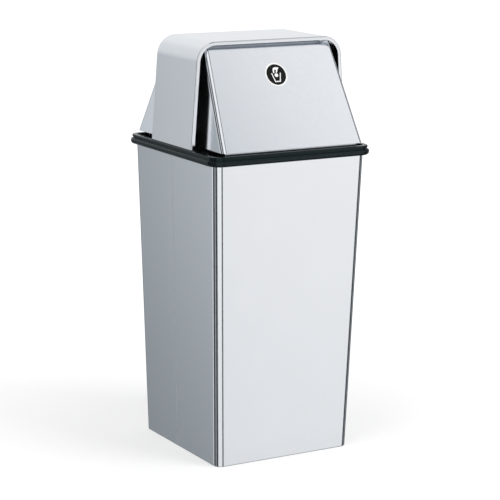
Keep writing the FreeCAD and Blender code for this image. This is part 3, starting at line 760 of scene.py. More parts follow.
@dataclass
class RimBumper:
    """Rubber ring that grips the rim: a round bead, a groove and a lip, run along a rounded square.

    Reaches are measured outwards from the wall's line, and heights from the floor.
    """

    workshop: Workshop
    wall_half: float = 186.3
    wall_radius: float = 17.0
    foot: float = 662.6
    bead_top: float = 675.5
    groove_top: float = 678.5
    top: float = 683.5
    bead_reach: float = 13.7
    groove_reach: float = 8.7
    lip_reach: float = 10.2
    inner_reach: float = -1.2
    slot_reach: float = 8.1
    slot_foot: float = 669.7
    slot_top: float = 671.1
    grip: float = 0.1
    bead_foot_round: float = 6.2
    bead_top_round: float = 4.4
    groove_round: float = 0.5
    lip_foot_round: float = 0.7
    lip_top_round: float = 1.8
    inner_round: float = 1.0
    slot_round: float = 0.2
    foot_round: float = 0.8
    rubbed_band: float = 0.6
    round_steps: int = 7
    corner_steps: int = 14

    def section_mesh(self) -> bpy.types.Mesh:
        """The ring's section as a closed line, outwards along X and downwards along Y.

        Returns:
            A mesh of edges in metres, measured from the wall's line at the floor.
        """
        slot = self.slot_round
        points = rounded_section([
            (self.bead_reach, self.foot, self.bead_foot_round), (self.bead_reach, self.bead_top, self.bead_top_round),
            (self.groove_reach, self.bead_top, self.groove_round),
            (self.groove_reach, self.groove_top, self.groove_round),
            (self.lip_reach, self.groove_top, self.lip_foot_round), (self.lip_reach, self.top, self.lip_top_round),
            (self.inner_reach, self.top, self.inner_round), (self.inner_reach, self.slot_top, slot),
            (self.slot_reach, self.slot_top, slot), (self.slot_reach, self.slot_foot, slot),
            (self.grip, self.slot_foot, slot), (self.grip, self.foot, self.foot_round)], self.round_steps)
        mesh = bpy.data.meshes.new("bumper_section")
        spots = [(spot.place.x * MM, -spot.place.y * MM, 0.0) for spot in points]
        mesh.from_pydata(spots, [(i, (i + 1) % len(spots)) for i in range(len(spots))], [])
        return mesh

    @staticmethod
    def tree() -> bpy.types.NodeTree:
        """A tree that runs the given section along a square with rounded corners.

        Returns:
            The geometry tree.
        """
        tree, given, result = new_group(
            "rim_bumper", "GeometryNodeTree",
            {"Section": (GEOMETRY, None), "Width": (FLOAT, 0.37), "Corner radius": (FLOAT, 0.017),
             "Corner steps": (INTEGER, 14), "Material": (MATERIAL, None)},
            {"Geometry": GEOMETRY})
        square = add_node(tree, "GeometryNodeCurvePrimitiveQuadrilateral",
                          {"Width": given.outputs["Width"], "Height": given.outputs["Width"]})
        rounded = add_node(tree, "GeometryNodeFilletCurve",
                           {"Curve": square.outputs[0], "Count": given.outputs["Corner steps"],
                            "Radius": given.outputs["Corner radius"]}, mode="POLY")
        section = add_node(tree, "GeometryNodeMeshToCurve", {"Mesh": given.outputs["Section"]})
        ring = add_node(tree, "GeometryNodeCurveToMesh",
                        {"Curve": rounded.outputs[0], "Profile Curve": section.outputs[0]})
        finish_tree(tree, ring.outputs[0], given, result)
        return tree

    def build(self) -> None:
        """Builds the ring from its section."""
        obj = run_nodes("bumper_ring", self.section_mesh(), self.tree(), {
            "Width": 2 * self.wall_half * MM, "Corner radius": self.wall_radius * MM,
            "Corner steps": self.corner_steps, "Material": self.workshop.material(Workshop.RUBBER)})
        rubbed_from = (self.wall_half + self.bead_reach - self.rubbed_band) * MM
        mark_edges(obj, lambda spot: max(abs(spot.x), abs(spot.y)) > rubbed_from)
        face_outward(obj)
        seat(obj, Body.BIN, Slot.BLACK_RUBBER, "bumper")


def finish_tree(tree: bpy.types.NodeTree, shape: bpy.types.NodeSocket, given: bpy.types.Node,
                result: bpy.types.Node) -> None:
    """Ends a geometry tree: smooth faces, real geometry and the material.

    Args:
        tree: The tree.
        shape: What the tree has made.
        given: The tree's input node, which has a Material output.
        result: The tree's output node.
    """
    smooth = add_node(tree, "GeometryNodeSetShadeSmooth", {"Geometry": shape})
    real = add_node(tree, "GeometryNodeRealizeInstances", {"Geometry": smooth.outputs[0]})
    dressed = add_node(tree, "GeometryNodeSetMaterial",
                       {"Geometry": real.outputs[0], "Material": given.outputs["Material"]})
    tree.links.new(dressed.outputs[0], result.inputs[0])


def mark_edges(obj: bpy.types.Object, rubbed: Callable[[Vector], bool]) -> None:
    """Writes the edge attribute that the wear reads.

    Args:
        obj: The piece.
        rubbed: True for a place, in metres, that gets rubbed.
    """
    mesh = obj.data
    marks = mesh.attributes.new("edge", "FLOAT", "POINT")
    marks.data.foreach_set("value", [1.0 if rubbed(vertex.co) else 0.0 for vertex in mesh.vertices])


def face_outward(obj: bpy.types.Object) -> None:
    """Merges doubles and turns the faces of a closed mesh outwards.

    Args:
        obj: The piece.
    """
    work = bmesh.new()
    work.from_mesh(obj.data)
    bmesh.ops.remove_doubles(work, verts=work.verts, dist=SAME_POINT)
    bmesh.ops.recalc_face_normals(work, faces=work.faces)
    work.to_mesh(obj.data)
    work.free()


# ---------------------------------------------------------------- the lid


@dataclass
class ArchedHood:
    """Arch of sheet with return lips on both open edges, and the painted frame that it stands on."""

    workshop: Workshop
    foot: float = 685.0
    foot_half: float = 192.5
    height: float = 227.0
    half_depth: float = 90.7
    lean: float = 3.9
    arch_radius: float = 45.0
    gauge: float = 1.2
    lip: float = 8.0
    bend: float = 2.2
    cut_round: float = 0.3
    arch_steps: int = 28

    def stations(self) -> list[tuple[Vector, Vector, Vector]]:
        """The arch's line from the right foot to the left one.

        Returns:
            Place, direction of the section's across axis, and true outward normal of each station.
        """
        lean = math.radians(self.lean)
        centre_z = self.foot + self.height - self.arch_radius
        run = (centre_z - self.foot) * math.sin(lean)
        centre_x = self.foot_half - (self.arch_radius + run) / math.cos(lean)
        right = []
        wall = Vector((math.cos(lean), 0.0, math.sin(lean)))
        right.append((Vector((self.foot_half, 0.0, self.foot)), Vector((1.0 / math.cos(lean), 0.0, 0.0)), wall))
        for step in range(self.arch_steps + 1):
            angle = lean + (math.pi / 2 - lean) * step / self.arch_steps
            normal = Vector((math.cos(angle), 0.0, math.sin(angle)))
            right.append((Vector((centre_x, 0.0, centre_z)) + normal * self.arch_radius, normal, normal))
        mirror = Matrix.Scale(-1.0, 4, Vector((1.0, 0.0, 0.0)))
        return right + [tuple(mirror @ item for item in station) for station in reversed(right)]

    def build(self) -> None:
        """Builds the hood: a channel section swept over the arch."""
        deep, sheet, lip = self.half_depth, self.gauge, -self.lip
        inner = self.bend - sheet
        section = rounded_section([
            (0.0, -deep, self.bend), (0.0, deep, self.bend), (lip, deep, self.cut_round),
            (lip, deep - sheet, self.cut_round), (-sheet, deep - sheet, inner), (-sheet, sheet - deep, inner),
            (lip, sheet - deep, self.cut_round), (lip, -deep, self.cut_round)])
        mesh = SheetMesh()
        rows, normals = [], []
        for place, across, facing in self.stations():
            rows.append([mesh.point(place + across * spot.place.x + Vector((0.0, spot.place.y, 0.0)), spot.edge)
                         for spot in section])
            normals.append([facing * spot.normal.x + Vector((0.0, spot.normal.y, 0.0)) for spot in section])
        mesh.grid(rows, normals, closed=False)
        mesh.cap(rows[0], Vector((0.0, 0.0, -1.0)))
        mesh.cap(rows[-1], Vector((0.0, 0.0, -1.0)))
        obj = mesh.piece("hood_arch", self.workshop.material(Workshop.STEEL_ARCHED))
        seat(obj, Body.LID, Slot.SATIN_STEEL, "hood")

    def dress(self) -> None:
        """Finishes the kept frame ring."""
        self.workshop.dress_node("lid_frame", Workshop.ENAMEL)


@dataclass
class HingeAxis:
    """Where a flap's hinge lies, and how the flap leans."""

    side: Side
    stagger: float = 2.0
    axis_y: float = -74.682
    axis_z: float = 890.727
    slope: float = 28.3

    def upright(self) -> Matrix:
        """The frame on the hinge's axis that stands upright with the lid."""
        return self.side.matrix() @ Matrix.Translation((self.stagger, self.axis_y, self.axis_z))

    def leaning(self) -> Matrix:
        """The frame on the hinge's axis that leans with the closed flap."""
        return self.upright() @ Matrix.Rotation(-math.radians(self.slope), 4, "X")


@dataclass
class FlapHinge:
    """A flap's hinge: kept rail, leaves and pin, with rivets and wound springs of its own."""

    workshop: Workshop
    axis: HingeAxis
    length: float = 266.0
    places: int = 9
    leaf_face: float = 4.2
    rivet_count: int = 5
    rivet_spacing: float = 58.0
    rivet_radius: float = 2.6
    rivet_rise: float = 1.1
    rivet_height: float = 10.5
    wire: float = 1.2
    coil_radius: float = 2.9
    coil_width: float = 7.0
    turns: int = 4
    leg: float = 14.0
    spring_places: tuple[int, ...] = (2, 6)

    def build(self) -> None:
        """Builds the rivets and the springs."""
        self.rivets()
        for number, place in enumerate(self.spring_places, start=1):
            self.spring(number, (place - (self.places - 1) / 2) * self.length / self.places)

    def rivets(self) -> None:
        """The row of rivets that holds the fixed leaf to its rail."""
        label = self.axis.side.label
        obj = run_nodes(f"{label}_hinge_rivets", bpy.data.meshes.new("rivets"), rivet_tree(), {
            "Count": self.rivet_count, "Spacing": self.rivet_spacing * MM, "Head radius": self.rivet_radius * MM,
            "Head rise": self.rivet_rise * MM, "Material": self.workshop.material(Workshop.RIVET)})
        place = self.axis.upright() @ Matrix.Translation((0.0, self.leaf_face, self.rivet_height))
        obj.data.transform(in_metres(place))
        seat(obj, Body.LID, Slot.HINGE_STEEL)

    def spring(self, number: int, along: float) -> None:
        """A torsion spring round the pin.

        Args:
            number: Its number along the pin.
            along: Where its middle lies along the pin.
        """
        label, flap = self.axis.side.label, self.axis.side.flap
        turns = self.turns + (180.0 - self.axis.slope) / 360.0
        obj = run_nodes(f"{label}_spring_{number}", bpy.data.meshes.new("spring"), spring_tree(), {
            "Wire radius": self.wire / 2 * MM, "Coil radius": self.coil_radius * MM, "Turns": turns,
            "Coil width": self.coil_width * MM, "Leg": self.leg * MM, "Slope": math.radians(self.axis.slope),
            "Material": self.workshop.material(Workshop.SPRING_STEEL)})
        place = self.axis.upright() @ Matrix.Translation((along - self.coil_width / 2, 0.0, 0.0))
        obj.data.transform(in_metres(place))
        face_outward(obj)
        ends = [in_metres(place) @ Vector((x * MM, 0.0, 0.0)) for x in (self.wire, self.coil_width - self.wire)]
        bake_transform(obj)
        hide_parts(f"{label}_springs")
        LOG.info("piece %s twists between lid and %s", obj.name, flap.value)

    def dress(self) -> None:
        """Finishes the kept rail, leaves and pin."""
        label = self.axis.side.label
        self.workshop.dress_node(f"{label}_hinge_rail", Workshop.PLAIN_STEEL)
        for name in ("fixed_leaf", "moving_leaf", "hinge_pin"):
            self.workshop.dress_node(f"{label}_{name}", Workshop.HINGE_STEEL)


def in_metres(place: Matrix) -> Matrix:
    """The same placement with its shift in metres.

    Args:
        place: A placement in millimetres.

    Returns:
        The placement for meshes.
    """
    moved = place.copy()
    moved.translation = place.translation * MM
    return moved


RIVET_SEGMENTS, RIVET_RINGS = 20, 12
COIL_STEPS, WIRE_SIDES = 28, 10


def rivet_tree() -> bpy.types.NodeTree:
    """A tree for a straight row of low domed rivet heads, centred, along X and facing along -Y.

    Returns:
        The geometry tree, made once.
    """
    if "rivet_row" in bpy.data.node_groups:
        return bpy.data.node_groups["rivet_row"]
    tree, given, result = new_group(
        "rivet_row", "GeometryNodeTree",
        {"Geometry": (GEOMETRY, None), "Count": (INTEGER, 5), "Spacing": (FLOAT, 0.05),
         "Head radius": (FLOAT, 0.0026), "Head rise": (FLOAT, 0.0011), "Material": (MATERIAL, None)},
        {"Geometry": GEOMETRY})
    gaps = calculate(tree, "SUBTRACT", given.outputs["Count"], 1.0)
    first = calculate(tree, "MULTIPLY", calculate(tree, "MULTIPLY", gaps, given.outputs["Spacing"]), -0.5)
    row = add_node(tree, "GeometryNodeMeshLine",
                   {"Count": given.outputs["Count"], "Start Location": vector_of(tree, first),
                    "Offset": vector_of(tree, given.outputs["Spacing"])})
    ball = add_node(tree, "GeometryNodeMeshUVSphere", {"Segments": RIVET_SEGMENTS, "Rings": RIVET_RINGS,
                                                       "Radius": given.outputs["Head radius"]})
    squash = calculate(tree, "DIVIDE", given.outputs["Head rise"], given.outputs["Head radius"])
    head = add_node(tree, "GeometryNodeTransform", {"Geometry": ball.outputs[0],
                                                    "Scale": vector_of(tree, 1.0, squash, 1.0)})
    copies = add_node(tree, "GeometryNodeInstanceOnPoints", {"Points": row.outputs[0], "Instance": head.outputs[0]})
    finish_tree(tree, copies.outputs[0], given, result)
    return tree


def spring_tree() -> bpy.types.NodeTree:
    """A tree for a torsion spring wound round X from zero: a coil, a leg on the rail and a leg on the flap.

    Returns:
        The geometry tree, made once.
    """
    if "torsion_spring" in bpy.data.node_groups:
        return bpy.data.node_groups["torsion_spring"]
    tree, given, result = new_group(
        "torsion_spring", "GeometryNodeTree",
        {"Geometry": (GEOMETRY, None), "Wire radius": (FLOAT, 0.0006), "Coil radius": (FLOAT, 0.0029),
         "Turns": (FLOAT, 4.4), "Coil width": (FLOAT, 0.007), "Leg": (FLOAT, 0.014), "Slope": (FLOAT, 0.49),
         "Material": (MATERIAL, None)}, {"Geometry": GEOMETRY})
    radius, width = given.outputs["Coil radius"], given.outputs["Coil width"]
    coil = add_node(tree, "GeometryNodeCurveSpiral",
                    {"Resolution": COIL_STEPS, "Rotations": given.outputs["Turns"], "Start Radius": radius,
                     "End Radius": radius, "Height": width})
    started = add_node(tree, "GeometryNodeTransform", {"Geometry": coil.outputs[0],
                                                       "Rotation": (0.0, 0.0, math.pi / 2)})
    laid = add_node(tree, "GeometryNodeTransform", {"Geometry": started.outputs[0],
                                                    "Rotation": (0.0, math.pi / 2, 0.0)})
    down, back, tilt = (calculate(tree, "MULTIPLY", source, -1.0)
                        for source in (given.outputs["Leg"], radius, given.outputs["Slope"]))
    rail_leg, straight = (
        add_node(tree, "GeometryNodeCurvePrimitiveLine", {"Start": vector_of(tree, along, out),
                                                          "End": vector_of(tree, along, out, down)})
        for along, out in ((0.0, radius), (width, back)))
    flap_leg = add_node(tree, "GeometryNodeTransform", {"Geometry": straight.outputs[0],
                                                        "Rotation": vector_of(tree, tilt)})
    joined = add_node(tree, "GeometryNodeJoinGeometry")
    for part in (laid, rail_leg, flap_leg):
        tree.links.new(part.outputs[0], joined.inputs[0])
    wire = add_node(tree, "GeometryNodeCurvePrimitiveCircle", {"Resolution": WIRE_SIDES,
                                                               "Radius": given.outputs["Wire radius"]})
    drawn = add_node(tree, "GeometryNodeCurveToMesh", {"Curve": joined.outputs[0], "Profile Curve": wire.outputs[0],
                                                       "Fill Caps": True})
    finish_tree(tree, drawn.outputs[0], given, result)
    return tree


@dataclass
class StopBuffers:
    """Rubber pads on the frame that the closing flap's lip meets."""

    workshop: Workshop
    side: Side
    spread: float = 200.0
    width: float = 20.0
    thickness: float = 3.0
    height: float = 7.0
    foot: float = 672.0
    seat_y: float = -182.6
    corner_round: float = 1.6
    corner_steps: int = 4
    bevel: float = 0.9
    dome_drop: float = 0.3
    dome_inset: float = 0.45

    def build(self) -> None:
        """Builds both pads as one piece, domed a little towards the flap."""
        mesh = SheetMesh()
        half_width, half_height = self.width / 2, self.height / 2
        layers = [(0.0, 0.0), (self.thickness - self.bevel, 0.0),
                  (self.thickness - self.bevel * self.dome_drop, self.dome_inset), (self.thickness, self.bevel)]
        for middle in (-self.spread / 2, self.spread / 2):
            rows, normals = [], []
            for depth, inset in layers:
                across, up = half_width - inset, half_height - inset
                section = rounded_section([(x * across, y * up, self.corner_round - inset)
                                           for x, y in ((-1, -1), (1, -1), (1, 1), (-1, 1))], self.corner_steps)
                tilt = inset / self.bevel
                rows.append([mesh.point(Vector((middle + spot.place.x, self.seat_y + depth,
                                                self.foot + half_height + spot.place.y)), spot.edge * tilt)
                             for spot in section])
                normals.append([Vector((spot.normal.x, tilt, spot.normal.y)).normalized() for spot in section])
            mesh.grid(rows, normals, closed=False)
            mesh.cap(rows[0], Vector((0.0, -1.0, 0.0)))
            mesh.cap(rows[-1], Vector((0.0, 1.0, 0.0)))
        obj = mesh.piece(f"{self.side.label}_buffer_pads", self.workshop.material(Workshop.RUBBER),
                         self.side.matrix())
        seat(obj, Body.LID, Slot.BLACK_RUBBER, f"{self.side.label}_stop_buffers")


# ---------------------------------------------------------------- the flaps


@dataclass
class PushFlap:
    """Sloping folded panel with bent side flanges, a return along its foot and a stop lip."""

    workshop: Workshop
    axis: HingeAxis
    top: float = 8.0
    face_length: float = 239.9
    face_reach: float = 6.6
    top_half: float = 157.9
    foot_half: float = 174.5
    gauge: float = 1.2
    bend: float = 10.0
    bend_steps: int = 16
    rear_y: float = -69.0
    foot_y: float = -190.43
    foot_z: float = 689.7
    lip_y: float = -179.3
    lip_height: float = 18.0
    lip_half: float = 162.5
    flange_depth: float = 130.0
    overrun: float = 6.0
    hook_bend: float = 0.8
    hook_weld_round: float = 0.15
    hook_cut_round: float = 0.3
    hook_steps: int = 4
    trim_tolerance: float = 1e-5

    @property
    def widening(self) -> float:
        """How far each side moves out for each unit down the face."""
        return (self.foot_half - self.top_half) / self.face_length

    def upright(self) -> Matrix:
        """The turn from upright directions to those of the leaning frame."""
        return Matrix.Rotation(math.radians(self.axis.slope), 3, "X")

    def half(self, level: float) -> float:
        """Half the flap's width at a level of the leaning frame."""
        return self.top_half + self.widening * (self.top - level)

    def normal(self, spot: Vector) -> Vector:
        """The outward normal of the folded sheet at a place of the leaning frame.

        Args:
            spot: A place on the sheet's outside.

        Returns:
            The unit normal.
        """
        centre_x, centre_y = self.half(spot.z) - self.bend, self.bend - self.face_reach
        sign = math.copysign(1.0, spot.x)
        if abs(spot.x) <= centre_x:
            turn = 0.0
        else:
            turn = min(math.atan2(abs(spot.x) - centre_x, max(centre_y - spot.y, TINY)), math.pi / 2)
        return Vector((sign * math.sin(turn), -math.cos(turn), self.widening * math.sin(turn))).normalized()

    def sheet_line(self, level: float) -> list[Vector]:
        """The folded sheet's outside across one level, from flange to flange.

        Args:
            level: Level of the leaning frame.

        Returns:
            Places in the leaning frame.
        """
        half, centre_y = self.half(level), self.bend - self.face_reach
        right = []
        for step in range(self.bend_steps + 1):
            turn = math.pi / 2 * step / self.bend_steps
            right.append(Vector((half - self.bend + self.bend * math.sin(turn),
                                 centre_y - self.bend * math.cos(turn), level)))
        right.append(Vector((half, centre_y + self.flange_depth, level)))
        left = [Vector((-spot.x, spot.y, spot.z)) for spot in reversed(right)]
        return left + right

    def folded_sheet(self, mesh: SheetMesh) -> None:
        """Adds the face with its flanges, trimmed upright behind and level below.

        Args:
            mesh: The mesh that gets the sheet, in the leaning frame.
        """
        work = bmesh.new()
        lines = [[work.verts.new(spot) for spot in self.sheet_line(level)]
                 for level in (self.top, self.top - self.face_length - self.overrun)]
        for left in range(len(lines[0]) - 1):
            work.faces.new((lines[0][left], lines[0][left + 1], lines[1][left + 1], lines[1][left]))
        upright = self.upright()
        for point, away in ((Vector((0.0, self.rear_y, self.axis.axis_z)), Vector((0.0, 1.0, 0.0))),
                            (Vector((0.0, self.axis.axis_y, self.foot_z)), Vector((0.0, 0.0, -1.0)))):
            local = upright @ (point - Vector((0.0, self.axis.axis_y, self.axis.axis_z)))
            everything = list(work.verts) + list(work.edges) + list(work.faces)
            bmesh.ops.bisect_plane(work, geom=everything, dist=self.trim_tolerance, plane_co=local,
                                   plane_no=upright @ away, clear_outer=True)
        outer = {vertex: mesh.point(vertex.co.copy()) for vertex in work.verts}
        inner = {vertex: mesh.point(vertex.co - self.normal(vertex.co) * self.gauge) for vertex in work.verts}
        for face in work.faces:
            facing = [self.normal(vertex.co) for vertex in face.verts]
            mesh.face([outer[vertex] for vertex in face.verts], facing)
            mesh.face([inner[vertex] for vertex in face.verts], [-normal for normal in facing])
        for edge in work.edges:
            if edge.is_boundary:
                first, second = edge.verts
                middle = edge.link_faces[0].calc_center_median()
                along = (second.co - first.co).normalized()
                away = (first.co + second.co) / 2 - middle
                normal = self.normal((first.co + second.co) / 2)
                away = (away - along * away.dot(along) - normal * away.dot(normal)).normalized()
                mesh.face([outer[first], outer[second], inner[second], inner[first]], [away] * 4)
                for vertex in edge.verts:
                    mesh.edges[outer[vertex]] = 1.0
        work.free()

    def hook(self, mesh: SheetMesh) -> None:
        """Adds the return along the foot and the lip that hangs behind the rim.

        Args:
            mesh: The mesh that gets them, in the leaning frame.
        """
        sheet, lip_back, slope = self.gauge, self.lip_y + self.gauge, math.radians(self.axis.slope)
        foot_y = self.foot_y + sheet / 2 / math.cos(slope)
        lip_foot, return_top = self.foot_z - self.lip_height, self.foot_z + sheet
        weld, cut = self.hook_weld_round, self.hook_cut_round
        section = rounded_section([
            (foot_y, self.foot_z, weld), (self.lip_y, self.foot_z, self.hook_bend), (self.lip_y, lip_foot, cut),
            (lip_back, lip_foot, cut), (lip_back, return_top, self.hook_bend + sheet),
            (foot_y + sheet * math.tan(slope), return_top, weld)], self.hook_steps)
        upright = self.upright()

        def along_foot(run: float, across: float, up: float) -> Vector:
            """A point of the leaning frame from its run along the foot and its upright place."""
            return upright @ Vector((run, across - self.axis.axis_y, up - self.axis.axis_z))

        extrude(mesh, section, along_foot, -self.lip_half, self.lip_half)

    def build(self) -> None:
        """Builds the panel as one piece."""
        mesh = SheetMesh()
        self.folded_sheet(mesh)
        self.hook(mesh)
        label = self.axis.side.label
        obj = mesh.piece(f"{label}_flap_sheet", self.workshop.material(Workshop.STEEL_SLOPED), self.axis.leaning())
        seat(obj, self.axis.side.flap, Slot.SATIN_STEEL, f"{label}_flap_panel")


@dataclass
class LitterSign:
    """Round plate on the front flap: a pale rim, a black face and a plain litter pictogram."""

    workshop: Workshop
    axis: HingeAxis
    radius: float = 27.0
    face_radius: float = 23.6
    thickness: float = 0.8
    print_rise: float = 0.08
    edge_break: float = 0.25
    drop: float = 72.0
    steps: int = 72
    stroke: float = 2.2
    basket_top_half: float = 11.8
    basket_foot_half: float = 6.9
    basket_top: float = 3.4
    basket_foot: float = -17.0
    basket_corner: float = 0.8
    ball_radius: float = 4.3
    ball_place: float = -1.4
    hand: Outline = field(default_factory=lambda: [
        (-6.6, 3.6), (-3.6, 3.6), (-3.3, 8.6), (-1.6, 11.0), (1.2, 11.4), (1.9, 10.4), (-0.4, 4.4), (2.6, 4.0),
        (6.6, 12.2), (9.0, 13.6), (8.6, 15.8), (0.4, 16.6), (-4.2, 15.4), (-6.4, 11.4)])

    def seat_matrix(self) -> Matrix:
        """The plate's frame: X across the flap, Y up it and Z out of it."""
        shift = Matrix.Translation((0.0, -PushFlap.face_reach, PushFlap.top - self.drop))
        return self.axis.leaning() @ shift @ Matrix.Rotation(math.pi / 2, 4, "X")

    def ring(self, radius: float) -> Outline:
        """Places round a circle."""
        angles = [2 * math.pi * i / self.steps for i in range(self.steps)]
        return [(radius * math.cos(angle), radius * math.sin(angle)) for angle in angles]

    def slab(self, mesh: SheetMesh, outline: Outline, low: float, high: float,
             edge_break: float = 0.0) -> None:
        """Adds a flat slab over an outline.

        Args:
            mesh: The mesh that gets it.
            outline: Places round it, anticlockwise.
            low: Where it starts.
            high: Where its face lies.
            edge_break: Width of the broken edge of a round slab, or zero.
        """
        spots = [Vector(spot) for spot in outline]
        levels = [(low, 0.0), (high - edge_break, 0.0)]
        if edge_break:
            levels.append((high, edge_break))
        rows = []
        for level, inset in levels:
            shrink = [spot * (1.0 - inset / spot.length) if inset else spot for spot in spots]
            rows.append([mesh.point(Vector((spot.x, spot.y, level)), 1.0 if inset else 0.0) for spot in shrink])
        for number in range(len(rows) - 1):
            for left in range(len(spots)):
                right = (left + 1) % len(spots)
                run = spots[right] - spots[left]
                out = Vector((run.y, -run.x, 0.0)).normalized()
                if number:
                    out = (out + Vector((0.0, 0.0, 1.0))).normalized()
                mesh.face([rows[number][left], rows[number][right], rows[number + 1][right],
                           rows[number + 1][left]], [out] * 4)
        mesh.cap(rows[0], Vector((0.0, 0.0, -1.0)))
        mesh.cap(rows[-1], Vector((0.0, 0.0, 1.0)))

    def basket(self) -> Outline:
        """The open basket: two leaning sides and a floor, drawn as one stroke.

        Returns:
            Places round the stroke, anticlockwise.
        """
        wide, narrow, high, low = self.basket_top_half, self.basket_foot_half, self.basket_top, self.basket_foot
        inner_wide, inner_narrow = wide - self.stroke, narrow - self.stroke * self.basket_corner
        floor = low + self.stroke
        return [(-wide, high), (-narrow, low), (narrow, low), (wide, high), (inner_wide, high),
                (inner_narrow, floor), (-inner_narrow, floor), (-inner_wide, high)]

    def build(self) -> None:
        """Builds the plate, its black face and the pictogram."""
        place = self.seat_matrix()
        plate, face, drawing = SheetMesh(), SheetMesh(), SheetMesh()
        self.slab(plate, self.ring(self.radius), 0.0, self.thickness, self.edge_break)
        face_top = self.thickness + self.print_rise
        self.slab(face, self.ring(self.face_radius), self.thickness - self.print_rise, face_top)
        print_top = face_top + self.print_rise
        ball = [(x, y + self.ball_place) for x, y in self.ring(self.ball_radius)]
        for shape in (self.basket(), self.hand, ball):
            self.slab(drawing, shape, face_top - self.print_rise / 2, print_top)
        white, black = self.workshop.material(Workshop.SIGN_WHITE), self.workshop.material(Workshop.SIGN_BLACK)
        seat(plate.piece("sign_plate", white, place), Body.FRONT_FLAP, Slot.SIGN_PLASTIC, "symbol_disc")
        seat(face.piece("sign_face", black, place), Body.FRONT_FLAP, Slot.SIGN_PLASTIC)
        seat(drawing.piece("sign_pictogram", white, place), Body.FRONT_FLAP, Slot.SIGN_PLASTIC)


# ---------------------------------------------------------------- the studio


